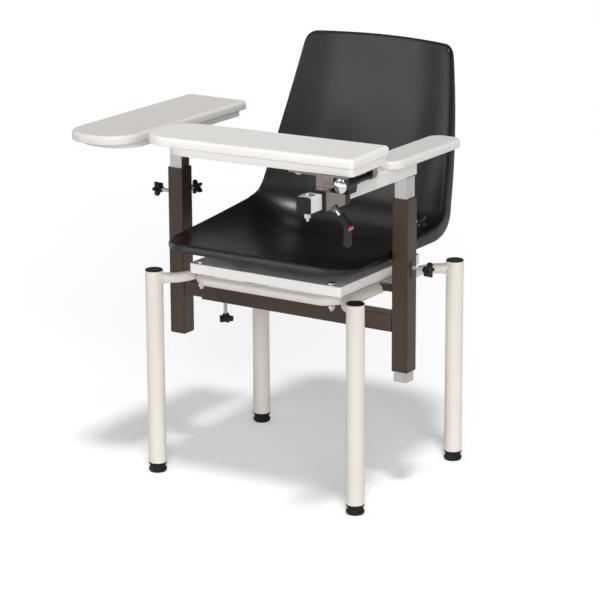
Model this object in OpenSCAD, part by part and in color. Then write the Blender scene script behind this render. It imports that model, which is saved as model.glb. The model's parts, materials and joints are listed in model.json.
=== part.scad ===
// Phlebotomy chair: a bucket seat on a tube frame, with two height-adjustable
// arm columns, a sliding flip-up arm board and screw knobs that lock each slide.
// The chair faces -Y, its feet stand on Z = 0 and the origin is under its middle.

/* [Frame] */
// distance between leg axes, side to side
leg_spacing_x = 500; // [350:1:700]
// distance between leg axes, front to back
leg_spacing_y = 404; // [300:1:600]
// floor to the top of the leg caps
leg_height = 450; // [350:1:600]
// outside diameter of a leg
leg_d = 38; // [25:1:60]
// wall of the leg and rail tubes
tube_wall = 1.6; // [1:0.1:4]
// outside diameter of the rails under the seat
rail_d = 22; // [16:1:32]
// drop from the top of the leg caps to the rail axes
rail_drop = 20; // [14:1:80]
// distance between the two side rail axes
rail_spacing = 392.6; // [250:0.1:560]
// bend radius of the side rails, to the axis
rail_bend_r = 60; // [30:1:100]
// angle by which a side rail flares out to its leg
rail_flare_angle = 55; // [30:1:70]
// distance between the side runs of the seat ring
ring_width = 348; // [220:1:520]
// distance between the front and rear runs of the seat ring
ring_depth = 328; // [220:1:480]
// bend radius of the seat ring, to the axis
ring_bend_r = 40; // [25:1:100]
// straight tail of a ring half after its bend
ring_tail = 122; // [10:1:140]
// gap kept between neighbouring pieces
fit_gap = 0.3; // [0.1:0.05:0.6]

/* [Leg caps and feet] */
// thickness of the cap flange
cap_flange = 3; // [2:0.5:6]
// depth of the cap plug
cap_plug = 14; // [6:1:30]
// visible height of a foot
foot_height = 21; // [12:1:40]
// diameter of the foot rim and of its tread
foot_rim_d = 39; // [26:1:60]
// diameter of the foot waist
foot_waist_d = 34.5; // [20:0.5:56]
// thickness of the foot rim
foot_rim = 3.2; // [1.5:0.1:8]
// height of the rounded foot tread
foot_tread = 11; // [6:0.5:20]
// depth of the foot plug inside the leg
foot_plug = 26; // [10:1:50]

/* [Seat pan] */
// width of the seat pan
pan_width = 376; // [250:1:540]
// depth of the seat pan
pan_depth = 322; // [220:1:480]
// height of the folded pan lip
pan_lip = 21; // [10:0.5:40]
// sheet thickness of the pan
pan_sheet = 2; // [1:0.1:4]
// corner radius of the pan
pan_corner_r = 6; // [2:0.5:20]
// diameter of the corner bolts
pan_bolt_d = 8; // [5:1:12]
// height of a bolt head or a nut
bolt_head_h = 5.3; // [3:0.1:9]
// distance across the flats of a bolt head or a nut
bolt_flats = 13; // [8:1:19]

/* [Seat shell] */
// width over the seat rim
shell_width = 472; // [350:1:600]
// width over the rim at the top of the back
shell_top_width = 350; // [260:1:520]
// narrowing of each side toward the front edge
shell_front_taper = 5; // [0:0.5:30]
// depth of the seat from its front edge to the back line
shell_depth = 431; // [320:1:560]
// front edge of the seat, ahead of the frame centre
shell_front = 209; // [150:1:280]
// sitting surface at the front edge, above the rail axes
shell_front_rise = 87; // [60:1:160]
// point where the seat and back lines meet, above the rail axes
shell_corner_rise = 41; // [20:1:110]
// length of the back line above that corner
shell_back_length = 428; // [300:1:560]
// backward lean of the back
shell_lean = 13; // [5:1:25]
// inner radius between seat and back
shell_bend_r = 100; // [60:1:140]
// wall thickness
shell_wall = 4.6; // [3:0.1:7]
// height of the side rim over the sitting surface, at the rear
shell_rise_rear = 60; // [30:1:90]
// forward reach of the side rim at the top of the back
shell_rise_top = 27; // [10:1:50]
// depth of the rolled lip along the front edge
shell_lip = 19; // [10:1:35]
// depth of the rolled lip at the front of the sides
shell_lip_side = 11; // [6:1:30]
// depth of the rolled lip at the seat corner
shell_lip_rear = 34; // [15:1:60]
// depth of the rolled lip along the top
shell_lip_top = 15; // [8:1:40]
// outward roll of the lip
shell_roll = 7; // [3:1:14]
// plan radius of the front corners
shell_front_r = 72; // [30:1:110]
// radius of the top corners
shell_top_r = 22; // [15:1:70]
// diameter of the spacers under the shell
spacer_d = 30; // [18:1:45]
// side-to-side distance between the spacers
spacer_x = 220; // [120:1:300]
// distance of the front spacers ahead of the frame centre
spacer_front = 80; // [50:1:160]
// distance of the rear spacers behind the frame centre
spacer_rear = 88; // [40:1:130]
// diameter of the bolts that hold the shell
shell_bolt_d = 6; // [4:1:10]

/* [Posts and columns] */
// outside size of the square posts and the crossbar sleeve
post_size = 38; // [30:0.5:60]
// wall of the posts and the crossbar sleeve
post_wall = 3; // [2:0.1:5]
// outside size of the square columns and the inner crossbar
column_size = 31.4; // [22:0.1:50]
// wall of the columns and the inner crossbar
column_wall = 2; // [1.5:0.1:4]
// outer corner radius of the square tubes
tube_corner_r = 3; // [1:0.5:8]
// bottom of the posts, below the rail axes
post_drop = 164.7; // [100:0.1:250]
// length of a post
post_length = 369.4; // [250:0.1:500]
// how much lower the left post sits
left_post_drop = 2; // [0:1:20]
// post axes, ahead of the frame centre
post_ahead = 31; // [0:1:60]
// left post axis, from the frame centre
post_left_x = 300.8; // [285:0.1:420]
// right post axis, from the frame centre
post_right_x = 262.3; // [250:0.1:320]
// crossbar axis, below the rail axes
crossbar_drop = 62.4; // [42:0.1:120]
// left end of the crossbar sleeve, from the frame centre
sleeve_end_x = 235; // [200:1:270]
// length of the inner crossbar
inner_bar_length = 240; // [150:1:400]
// bottom of the left column, below the post tops
left_column_drop = 226; // [100:1:320]
// bottom of the right column, below the post tops
right_column_drop = 392; // [200:1:420]
// thickness of the crossbar hangers
hanger_sheet = 5; // [3:0.5:10]
// distance between the two crossbar hangers
hanger_spacing = 240; // [120:1:320]
// length of the hanger flange
hanger_flange = 52; // [38:1:80]
// width of the bracket on the right post
bracket_width = 14; // [8:1:38]
// how far the bracket reaches below the rail axis
bracket_drop = 2; // [0:0.5:10]

/* [Star knobs] */
// diameter over the lobes of a knob
knob_d = 33; // [20:1:60]
// thickness of the knob star
knob_star_h = 12; // [6:0.5:24]
// height of the knob neck
knob_neck_h = 6; // [2:0.5:12]
// diameter of the knob neck
knob_neck_d = 14; // [10:0.5:24]
// diameter of a knob lobe
knob_lobe_d = 8.6; // [5:0.1:16]
// diameter of the knob screws and the clamp screw
screw_d = 8; // [5:1:12]
// bare length of a knob screw
knob_standoff = 28; // [5:1:50]
// radial clearance of a turning screw or pin
run_gap = 0.08; // [0.01:0.01:0.1]
// upper knobs, below the post tops
knob_drop = 59.6; // [30:0.1:120]
// lower knob on the right post, above the rail axes
lower_knob_rise = 59.7; // [25:0.1:100]
// distance of the crossbar knob from the frame centre
crossbar_knob_x = 186; // [150:1:215]
// width of the nut plate under the lower right knob
nut_plate_w = 11; // [8:1:20]
// length of that nut plate
nut_plate_l = 36; // [20:1:60]

/* [Arm boards] */
// length of the left arm board
left_board_length = 467; // [300:1:600]
// length of the flip board
flip_board_length = 497; // [350:1:650]
// width of both boards
board_width = 155; // [100:1:220]
// thickness of the top layer
board_top = 19; // [10:1:30]
// thickness of the flip board's core
board_core = 16.5; // [8:0.5:30]
// thickness of the left board's core
left_core = 12.5; // [8:0.5:30]
// edge rounding of the top layer
board_edge = 7; // [2:0.5:9]
// corner radius at the rounded end
board_round_r = 66; // [30:1:76]
// corner radius at the square end
board_square_r = 9; // [5:1:40]
// setback of the core at the sides
core_side_setback = 6; // [2:1:20]
// setback of the left board's core at the rounded end
left_core_setback = 34; // [5:1:60]
// setback of the flip board's core at the rounded end
flip_core_setback = 49; // [5:1:80]
// setback of the core at the square end
core_square_setback = 17; // [1:0.5:40]
// setback of the flip board core at its square end
flip_square_setback = 3; // [1:0.5:40]
// underside of the left arm board, above the post tops
left_board_rise = 91.3; // [30:0.1:190]
// square end of the left arm board, behind the post axes
left_board_rear = 156; // [80:1:250]
// sideways offset of the left board from its column
left_board_offset = 5; // [-30:1:30]
// length of the plate on the left column
column_plate_l = 110; // [60:1:200]
// width of the plate on the left column
column_plate_w = 64; // [40:1:120]
// thickness of the mounting plates
plate_t = 3.7; // [2:0.1:8]
// width of the armrest pad
armrest_width = 77; // [50:1:120]
// length of the armrest pad
armrest_length = 280; // [180:1:400]
// thickness of the armrest pad
armrest_t = 17.6; // [10:0.1:30]
// front end of the armrest pad, ahead of the post axes
armrest_front = 98; // [40:1:160]
// corner radius of the armrest pad
armrest_r = 31; // [10:1:38]

/* [Arm bar and slider] */
// size of the square arm bar
bar_size = 32; // [20:1:50]
// wall of the arm bar
bar_wall = 2; // [1.5:0.1:4]
// underside of the arm bar, above the post tops
bar_rise = 45.7; // [10:0.1:150]
// front end of the bar, ahead of the post axes
bar_front = 378.5; // [250:0.5:480]
// rear end of the bar, behind the post axes
bar_rear = 21; // [16:1:80]
// thickness of the bar end plugs
plug_flange = 4; // [2:0.5:8]
// distance of the stop bolt from the front of the bar
stop_bolt_inset = 12; // [8:0.5:30]
// diameter of the stop bolt
stop_bolt_d = 6; // [4:1:10]
// diameter of the stop washer
stop_washer_d = 27; // [16:1:40]
// outside size of the slider sleeve
slider_size = 44; // [36:1:64]
// wall of the slider sleeve
slider_wall = 4; // [2:0.5:7]
// length of the slider sleeve
slider_length = 69; // [40:1:140]
// front end of the slider sleeve, ahead of the post axes
slider_front = 333; // [200:1:450]
// running gap between bushings and bar
slide_gap = 0.3; // [0.1:0.05:0.6]
// flange of the front bushing
bushing_flange = 7; // [3:0.5:15]
// depth of the bushings inside the sleeve
bushing_depth = 20; // [8:1:32]
// flange of the rear bushing, which carries the hinge ear
ear_thickness = 17.7; // [10:0.1:30]
// depth of the hinge block below the hinge pin
ear_drop = 19; // [12:0.5:24]

/* [Flip hinge] */
// hinge axis, outboard of the bar axis
hinge_out = 38; // [30:1:60]
// hinge axis, over the bar axis
hinge_up = 28; // [20:1:50]
// diameter of the hinge pin
hinge_pin_d = 10; // [6:0.5:16]
// diameter of the pin head
hinge_head_d = 30; // [16:1:40]
// thickness of the pin head
hinge_head_h = 7; // [4:0.5:12]
// outside diameter of the hinge barrels
barrel_d = 24; // [16:1:28]
// diameter of the rear hinge knuckle
rear_knuckle_d = 16; // [14:1:28]
// front face of the pin head, ahead of the post axes
hinge_front = 316; // [250:1:420]
// length of the front barrel
barrel_front_l = 14; // [8:1:50]
// length of the barrel on the ear
barrel_ear_l = 30.7; // [8:0.1:50]
// diameter of the torsion sleeve
torsion_d = 13; // [12:0.5:24]
// length of the torsion sleeve
torsion_l = 45; // [25:1:80]
// length of the rear barrel
barrel_rear_l = 17; // [8:1:30]
// underside of the flip board, over the hinge axis
flip_board_lift = 19; // [14:1:40]
// square end of the flip board, outboard of the hinge axis
flip_board_out = 24; // [5:1:40]
// near side of the flip board, ahead of the post axes
flip_board_near = 309; // [250:1:400]
// turn of the flip board to the bar
flip_board_yaw = 3; // [0:0.5:10]
// length of the bracket plate under the board
bracket_plate_l = 132; // [80:1:220]
// width of the bracket plate
bracket_plate_w = 122; // [60:1:140]
// width of the stop block
stop_block_w = 34; // [20:1:44]
// length of the stop block
stop_block_l = 35; // [20:1:60]
// diameter of the dome screws
dome_d = 20; // [10:1:26]
// height of a dome screw head
dome_h = 8; // [4:0.5:12]

/* [Clamping lever] */
// diameter of the lever hub
hub_d = 16; // [12:0.5:26]
// length of the lever hub
hub_l = 32; // [20:1:50]
// gap between the slider corner and the hub
hub_standoff = 16; // [4:1:30]
// where the lever arm leaves the hub, as a share of the hub
lever_root = 0.76; // [0.4:0.01:0.85]
// length of the lever, from its axis
lever_l = 57; // [40:1:100]
// width of the lever at its tip
lever_w = 16; // [10:0.5:24]
// thickness of the lever
lever_t = 9; // [6:0.5:14]
// outward lean of the lever
lever_lean = 30; // [0:1:45]
// turn of the lever about its axis
lever_turn = 22; // [-60:1:60]
// diameter of the release button
button_d = 12.4; // [8:0.1:20]
// height of the button over the hub
button_up = 4; // [2:0.5:8]
// travel of the button
button_travel = 3; // [1:0.5:6]

/* [Hidden] */
$fn = 64;
overcut = tube_wall;
slab_fn = 40;

rail_z = leg_height - rail_drop;
crossbar_z = rail_z - crossbar_drop;
post_bottom = rail_z - post_drop;
post_top = post_bottom + post_length;
left_column_bottom = post_top - left_column_drop;
right_column_bottom = post_top - right_column_drop;
knob_z = post_top - knob_drop;
lower_knob_z = rail_z + lower_knob_rise;
left_board_z = post_top + left_board_rise;
bar_z = post_top + bar_rise;
shell_front_z = rail_z + shell_front_rise;
shell_corner_z = rail_z + shell_corner_rise;

rail_x = rail_spacing / 2;
leg_x = leg_spacing_x / 2;
leg_y = leg_spacing_y / 2;
rail_jog = leg_x - rail_x - rail_bend_r * (1 - cos(rail_flare_angle));
rail_flare = rail_jog / sin(rail_flare_angle);
rail_bend_y = leg_y - rail_bend_r * sin(rail_flare_angle) - rail_flare * cos(rail_flare_angle);
ring_x = ring_width / 2;
ring_y = ring_depth / 2;
bend_corner = ring_bend_r * (1 - sin(45));
pan_bolt_x = ring_x - bend_corner;
pan_bolt_y = ring_y - bend_corner;
pan_bottom = rail_z + rail_d / 2 + fit_gap;
pan_top = pan_bottom + pan_lip;
pan_under = pan_top - pan_sheet;

crossbar_top = crossbar_z + post_size / 2;
post_right_face = post_right_x - post_size / 2;
bore_size = post_size - 2 * post_wall;
bar_axis_z = bar_z + bar_size / 2;
bar_top = bar_z + bar_size;
hinge_x = post_right_x + hinge_out;
hinge_z = bar_axis_z + hinge_up;
flip_board_z = hinge_z + flip_board_lift;
slider_rear = slider_front - slider_length;
ear_rear = slider_rear - fit_gap - ear_thickness;
barrel_front_y = hinge_front - hinge_head_h - fit_gap;
barrel_mid_y = barrel_front_y - barrel_front_l;
torsion_y = ear_rear - fit_gap;
barrel_rear_y = torsion_y - torsion_l - fit_gap;
pin_end_y = barrel_rear_y - barrel_rear_l - fit_gap - bolt_head_h;
slider_corner = slider_size / 2 * sqrt(2) - (sqrt(2) - 1) * slider_wall;
bar_corner = bar_size / 2 * sqrt(2) - (sqrt(2) - 1) * tube_corner_r;
boss_l = slider_wall * 2;
hub_start = slider_corner + hub_standoff;
button_well = button_up + button_travel + fit_gap;
knob_reach = post_size / 2 + knob_standoff + knob_neck_h + knob_star_h;

white = [0.93, 0.92, 0.89];
board_white = [0.95, 0.95, 0.93];
bar_grey = [0.86, 0.86, 0.84];
bronze = [0.27, 0.23, 0.21];
black = [0.06, 0.06, 0.06];
shell_black = [0.13, 0.12, 0.12];
chrome = [0.78, 0.78, 0.79];
red = [0.78, 0.10, 0.08];

module placed() {
    translate([-middle_x, -middle_y, 0]) children();
}
// The same for what the posts carry, drawn with the post axes at Y = 0.
module on_posts() {
    placed() translate([0, -post_ahead, 0]) children();
}

// Round tube standing on Z = 0.
module round_tube(d, wall, length) {
    difference() {
        cylinder(d = d, h = length);
        translate([0, 0, -overcut]) cylinder(d = d - 2 * wall, h = length + 2 * overcut);
    }
}

module rounded_rect(x, y, r) {
    square([x - 2 * r, y], center = true);
    square([x, y - 2 * r], center = true);
    for (sx = [-1, 1], sy = [-1, 1])
        translate([sx * (x / 2 - r), sy * (y / 2 - r)]) circle(r = r);
}

// Square tube standing on Z = 0.
module square_tube(size, wall, length, r = tube_corner_r) {
    inner = size - 2 * wall;
    difference() {
        linear_extrude(length) rounded_rect(size, size, r);
        translate([0, 0, -overcut]) linear_extrude(length + 2 * overcut)
            rounded_rect(inner, inner, r / 2);
    }
}

// Hexagon head or nut with a chamfered look from a round washer face.
module hex_head(flats, h) {
    cylinder(d = flats / cos(30), h = h, $fn = 6);
}

// Board outline corners: square end at x = 0, rounded end at x = length.
module board_corners(length, width, r_round, r_square, inset) {
    for (side = [-1, 1]) {
        translate([length - r_round, side * (width / 2 - r_round)])
            circle(r = r_round - inset, $fn = slab_fn);
        translate([r_square, side * (width / 2 - r_square)])
            circle(r = r_square - inset, $fn = slab_fn);
    }
}

// Slab with a quarter-round top edge and a small bottom edge.
module soft_slab(length, width, t, r_round, r_square, edge) {
    low = edge * edge_low_share;
    thin = edge * edge_layer_share;
    hull() {
        linear_extrude(thin) board_corners(length, width, r_round, r_square, low);
        translate([0, 0, low]) linear_extrude(t - edge - low)
            board_corners(length, width, r_round, r_square, 0);
        for (a = [30, 60, 90]) translate([0, 0, t - edge * (1 - sin(a)) - thin])
            linear_extrude(thin) board_corners(length, width, r_round, r_square, edge * (1 - cos(a)));
    }
}
edge_low_share = 0.3;
edge_layer_share = 0.01;

module dome_head(d, h) {
    r = (d * d / 4 + h * h) / (2 * h);
    intersection() {
        translate([0, 0, h - r]) sphere(r = r);
        cylinder(d = d, h = h);
    }
}

// Legs, caps and feet.
module leg(sx, sy) {
    color(white) placed() translate([sx * leg_x, sy * leg_y, foot_height])
        round_tube(leg_d, tube_wall, leg_height - cap_flange - foot_height);
}
module front_left_leg() leg(-1, -1);
module front_right_leg() leg(1, -1);
module rear_left_leg() leg(-1, 1);
module rear_right_leg() leg(1, 1);

module at_legs() {
    placed() for (sx = [-1, 1], sy = [-1, 1]) translate([sx * leg_x, sy * leg_y, 0]) children();
}

leg_bore_d = leg_d - 2 * tube_wall;

module leg_caps() {
    color(black) at_legs() {
        translate([0, 0, leg_height - cap_flange])
            rotate_extrude() polygon([
                [0, 0], [leg_d / 2, 0], [leg_d / 2, cap_flange / 2],
                [leg_d / 2 - cap_flange / 2, cap_flange], [0, cap_flange]
            ]);
        translate([0, 0, leg_height - cap_flange - cap_plug])
            cylinder(d = leg_bore_d - fit_gap, h = cap_plug);
    }
}

module foot() {
    tread_r = foot_tread / 2;
    cylinder(d = foot_waist_d, h = foot_height);
    translate([0, 0, foot_height - foot_rim]) cylinder(d = foot_rim_d, h = foot_rim);
    cylinder(d = foot_rim_d - 2 * tread_r, h = foot_tread);
    translate([0, 0, tread_r]) rotate_extrude()
        translate([foot_rim_d / 2 - tread_r, 0]) circle(r = tread_r);
    translate([0, 0, foot_height]) cylinder(d = leg_bore_d - fit_gap, h = foot_plug);
}
module leg_feet() {
    color(black) at_legs() foot();
}

// Side rail centreline, swept with radius r.
module rail_sweep(r) {
    translate([rail_x, -rail_bend_y, 0]) rotate([-90, 0, 0]) cylinder(r = r, h = 2 * rail_bend_y);
    for (s = [-1, 1]) mirror([0, s < 0 ? 1 : 0, 0])
        translate([rail_x + rail_bend_r, rail_bend_y, 0]) rotate(180 - rail_flare_angle) {
            rotate_extrude(angle = rail_flare_angle) translate([rail_bend_r, 0]) circle(r = r);
            translate([rail_bend_r, 0, 0]) rotate([90, 0, 0]) cylinder(r = r, h = rail_flare);
        }
}

module side_rail(side) {
    color(white) placed() mirror([side < 0 ? 1 : 0, 0, 0]) difference() {
        translate([0, 0, rail_z]) rail_sweep(rail_d / 2);
        translate([0, 0, rail_z]) rail_sweep(rail_d / 2 - tube_wall);
        for (sy = [-1, 1]) translate([leg_x, sy * leg_y, 0])
            cylinder(d = leg_d + 2 * fit_gap, h = leg_height);
    }
}
module left_side_rail() side_rail(-1);
module right_side_rail() side_rail(1);

module ring_sweep(r) {
    run = ring_x - ring_bend_r;
    translate([-run, -ring_y, 0]) rotate([0, 90, 0]) cylinder(r = r, h = 2 * run);
    for (s = [-1, 1]) mirror([s < 0 ? 1 : 0, 0, 0]) {
        translate([run, ring_bend_r - ring_y, 0]) rotate(-90) rotate_extrude(angle = 90)
            translate([ring_bend_r, 0]) circle(r = r);
        translate([ring_x, ring_bend_r - ring_y, 0]) rotate([-90, 0, 0]) cylinder(r = r, h = ring_tail);
    }
}

module seat_ring(side) {
    color(white) placed() mirror([0, side < 0 ? 0 : 1, 0]) difference() {
        translate([0, 0, rail_z]) ring_sweep(rail_d / 2);
        translate([0, 0, rail_z]) ring_sweep(rail_d / 2 - tube_wall);
        for (sx = [-1, 1]) translate([sx * pan_bolt_x, -pan_bolt_y, rail_z - rail_d])
            cylinder(d = pan_bolt_d + fit_gap, h = 2 * rail_d);
    }
}
module front_seat_ring() seat_ring(-1);
module rear_seat_ring() seat_ring(1);

// Seat pan: an inverted tray with folded lips.
module at_pan_bolts() {
    for (sx = [-1, 1], sy = [-1, 1]) translate([sx * pan_bolt_x, sy * pan_bolt_y, 0]) children();
}
module at_spacers() {
    for (sx = [-1, 1], y = [-spacer_front, spacer_rear]) translate([sx * spacer_x / 2, y, 0]) children();
}
module at_hanger_bolts() {
    for (sx = [-1, 1], sy = [-1, 1]) translate([
        sx * (hanger_spacing / 2 + post_size / 4), sy * (hanger_flange / 2 - bolt_flats), 0
    ]) children();
}

module seat_pan() {
    color(white) placed() difference() {
        translate([0, 0, pan_bottom]) linear_extrude(pan_lip)
            rounded_rect(pan_width, pan_depth, pan_corner_r);
        translate([0, 0, pan_bottom - pan_sheet]) linear_extrude(pan_lip)
            rounded_rect(pan_width - 2 * pan_sheet, pan_depth - 2 * pan_sheet, pan_corner_r - pan_sheet);
        at_pan_bolts() translate([0, 0, pan_under - pan_sheet])
            cylinder(d = pan_bolt_d + fit_gap, h = 3 * pan_sheet);
        at_spacers() translate([0, 0, pan_under - pan_sheet])
            cylinder(d = shell_bolt_d + fit_gap, h = 3 * pan_sheet);
        translate([0, -post_ahead, pan_under - pan_sheet]) at_hanger_bolts()
            cylinder(d = shell_bolt_d + fit_gap, h = 3 * pan_sheet);
    }
}

module pan_bolts() {
    nut_top = rail_z - rail_d / 2 - fit_gap;
    color(chrome) placed() at_pan_bolts() {
        translate([0, 0, pan_top + fit_gap]) hex_head(bolt_flats, bolt_head_h);
        translate([0, 0, nut_top - 2 * bolt_head_h])
            cylinder(d = pan_bolt_d, h = pan_top + fit_gap - nut_top + 2 * bolt_head_h);
    }
}
module pan_nuts() {
    nut_top = rail_z - rail_d / 2 - fit_gap;
    color(chrome) placed() at_pan_bolts() translate([0, 0, nut_top - bolt_head_h]) difference() {
        hex_head(bolt_flats, bolt_head_h);
        translate([0, 0, -bolt_head_h]) cylinder(d = pan_bolt_d + 2 * run_gap, h = 3 * bolt_head_h);
    }
}

// Seat shell: a side profile of seat line, bend and back line, lofted across with a
// rim that rises at both sides and a lip rolled outward all round.
seat_run = shell_depth;
seat_slope = atan((shell_front_z - shell_corner_z) / seat_run);
bend_turn = 90 - shell_lean + seat_slope;
bend_tangent = shell_bend_r * tan(bend_turn / 2);
seat_line = seat_run / cos(seat_slope) - bend_tangent;
back_line = shell_back_length - bend_tangent;
bend_line = shell_bend_r * bend_turn * PI / 180;
profile_line = seat_line + bend_line + back_line;
seat_end = [-shell_front + seat_line * cos(seat_slope), shell_front_z - seat_line * sin(seat_slope)];
bend_centre = seat_end + shell_bend_r * [sin(seat_slope), cos(seat_slope)];

function turn_at(s) = s < seat_line ? 0 : min(bend_turn, (s - seat_line) / bend_line * bend_turn);
function heading_at(s) = turn_at(s) - seat_slope;
function arc_point(a) = bend_centre + shell_bend_r * [sin(a), -cos(a)];
function profile_at(s) =
    s <= seat_line ? [-shell_front + s * cos(seat_slope), shell_front_z - s * sin(seat_slope)] :
    s <= seat_line + bend_line ? arc_point(heading_at(s)) :
    arc_point(90 - shell_lean) + (s - seat_line - bend_line) * [sin(shell_lean), cos(shell_lean)];
function shell_back_y(t) = profile_at(t * profile_line)[0];

// middle of the whole chair, which becomes the origin
middle_x = (post_right_x + knob_reach - post_left_x - left_board_offset - board_width / 2) / 2;
middle_y = (shell_back_y(1) + shell_lip - post_ahead - bar_front - plug_flange) / 2;

function ramp(s, a, b) = max(0, min(1, (s - a) / (b - a)));
back_start = seat_line + bend_line;

// share of the half width that stays flat before the side rises
flat_share = 0.42;
// power by which the back narrows toward its top
taper_power = 1.45;
// power by which the side rim rises along the seat
rise_power = 1.1;
// stretch of the seat line over which the rim rises, in shares of its length
rise_shares = [0.12, 1.05];
// share of the seat line after which the side lip deepens
lip_share = 0.2;

function half_width(s) =
    (shell_width - (shell_width - shell_top_width) * pow(ramp(s, seat_line, profile_line), taper_power)) / 2
        - shell_front_taper * (1 - ramp(s, 0, seat_line));
function rise_at(s) =
    s < back_start ?
        shell_rise_rear * pow(ramp(s, seat_line * rise_shares[0], seat_line * rise_shares[1]), rise_power) :
        shell_rise_top + (shell_rise_rear - shell_rise_top) * pow(1 - ramp(s, back_start, profile_line), 2);
function side_lip(s) =
    s < seat_line ?
        shell_lip_side + (shell_lip_rear - shell_lip_side) * ramp(s, seat_line * lip_share, seat_line) :
        shell_lip_rear + (shell_lip_top - shell_lip_rear) * ramp(s, back_start, profile_line);

function tangent_at(s) = [0, cos(heading_at(s)), sin(heading_at(s))];
function upward_at(s) = [0, -sin(heading_at(s)), cos(heading_at(s))];
function sheet_point(s, x) =
    let (up = rise_at(s) * pow(ramp(abs(x) / half_width(s), flat_share, 1), 2), p = profile_at(s))
    [x, p[0], p[1]] + up * upward_at(s);

// Edge curves of the sheet, each point as [s, x, outward along s, outward along x].
function corner_point(r, end, direction, phi) =
    let (s = end - direction * r * (1 - cos(phi)))
    [s, half_width(s) - r * (1 - sin(phi)), direction * cos(phi), sin(phi)];
function across_edge(t, r, end, direction) =
    let (flat = half_width(end) - r, d = t * (flat + r * PI / 4))
    d <= flat ? [end, d, direction, 0] : corner_point(r, end, direction, (d - flat) / r * 180 / PI);
function mirrored_edge(t, r, end, direction) =
    let (e = across_edge(abs(t), r, end, direction), side = t < 0 ? -1 : 1)
    [e[0], side * e[1], e[2], side * e[3]];
front_turn = shell_front_r * PI / 4;
top_turn = shell_top_r * PI / 4;
straight_side = profile_line - shell_front_r - shell_top_r;
side_length = front_turn + straight_side + top_turn;
function side_edge(d) =
    d < front_turn ? corner_point(shell_front_r, 0, -1, 45 + d / shell_front_r * 180 / PI) :
    d <= front_turn + straight_side ?
        [shell_front_r + d - front_turn, half_width(shell_front_r + d - front_turn), 0, 1] :
    corner_point(shell_top_r, profile_line, 1, 90 - (d - front_turn - straight_side) / shell_top_r * 180 / PI);

// stations across the half width, as shares of the edge's length
half_shares = [0, 0.22, 0.4, 0.53, 0.64, 0.74, 0.82, 0.88, 0.94, 1];
half_count = len(half_shares);
across = concat(
    [for (i = [half_count - 1 : -1 : 1]) -half_shares[i]],
    half_shares
);
seat_steps = 7;
bend_steps = 8;
back_steps = 8;
seat_part = seat_line - shell_front_r;
along = concat(
    [0, front_turn / 2],
    [for (i = [0 : seat_steps]) front_turn + seat_part * i / seat_steps],
    [for (i = [1 : bend_steps]) front_turn + seat_part + bend_line * i / bend_steps],
    [for (i = [1 : back_steps]) front_turn + seat_part + bend_line
        + (back_line - shell_top_r) * i / back_steps],
    [side_length - top_turn / 2, side_length]
);
rows = len(along);
cols = len(across);
front_corner = side_edge(0);
top_corner = side_edge(side_length);

// Sheet coordinates inside the four edge curves.
function sheet_at(i, j) =
    let (
        d = along[i], u = d / side_length, t = across[j],
        low = mirrored_edge(t, shell_front_r, 0, -1),
        high = mirrored_edge(t, shell_top_r, profile_line, 1),
        side = side_edge(d)
    )
    [
        (1 - u) * low[0] + u * high[0] + side[0] - (1 - u) * front_corner[0] - u * top_corner[0],
        (1 - u) * low[1] + u * high[1] + t * (side[1] - (1 - u) * front_corner[1] - u * top_corner[1])
    ];
grid = [for (i = [0 : rows - 1]) [for (j = [0 : cols - 1]) sheet_at(i, j)]];

// The rim, once round the sheet, as [row, column].
rim = concat(
    [for (j = [0 : cols - 1]) [0, j]],
    [for (i = [1 : rows - 1]) [i, cols - 1]],
    [for (j = [cols - 2 : -1 : 0]) [rows - 1, j]],
    [for (i = [rows - 2 : -1 : 1]) [i, 0]]
);
rim_count = len(rim);
function rim_edge(m) =
    let (i = rim[m][0], j = rim[m][1], side = side_edge(along[i]))
    i == 0 ? mirrored_edge(across[j], shell_front_r, 0, -1) :
    i == rows - 1 ? mirrored_edge(across[j], shell_top_r, profile_line, 1) :
    j == 0 ? [side[0], -side[1], side[2], -side[3]] : side;
rim_edges = [for (m = [0 : rim_count - 1]) rim_edge(m)];

// rings of the lip past the rim, as shares of its outward roll and of its depth
lip_shares = [[0, 0], [0.5, 0.03], [0.88, 0.22], [1, 0.6], [1, 1]];
ring_count = len(lip_shares);
function lip_point(e, q) =
    let (
        depth = e[2] * e[2] * (e[2] < 0 ? shell_lip : shell_lip_top) + e[3] * e[3] * side_lip(e[0]),
        out = e[2] * tangent_at(e[0]) + [e[3], 0, 0]
    )
    sheet_point(e[0], e[1]) + q[0] * shell_roll * out - q[1] * depth * upward_at(e[0]);
lip = [for (q = lip_shares) [for (e = rim_edges) lip_point(e, q)]];
inward = [for (e = rim_edges) sheet_point(e[0] - e[2] * shell_wall, e[1] - e[3] * shell_wall)];

function unit(v) = v / norm(v);
function sheet_normal(s, x) = unit(cross(
    sheet_point(s, x + shell_wall) - sheet_point(s, x - shell_wall),
    sheet_point(s + shell_wall, x) - sheet_point(s - shell_wall, x)
));
function lip_normal(q, m) =
    let (
        after = (m + 1) % rim_count, before = (m + rim_count - 1) % rim_count,
        far = lip[min(q + 1, ring_count - 1)][m], near = q == 0 ? inward[m] : lip[q - 1][m]
    )
    unit(cross(far - near, lip[q][after] - lip[q][before]));

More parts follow.
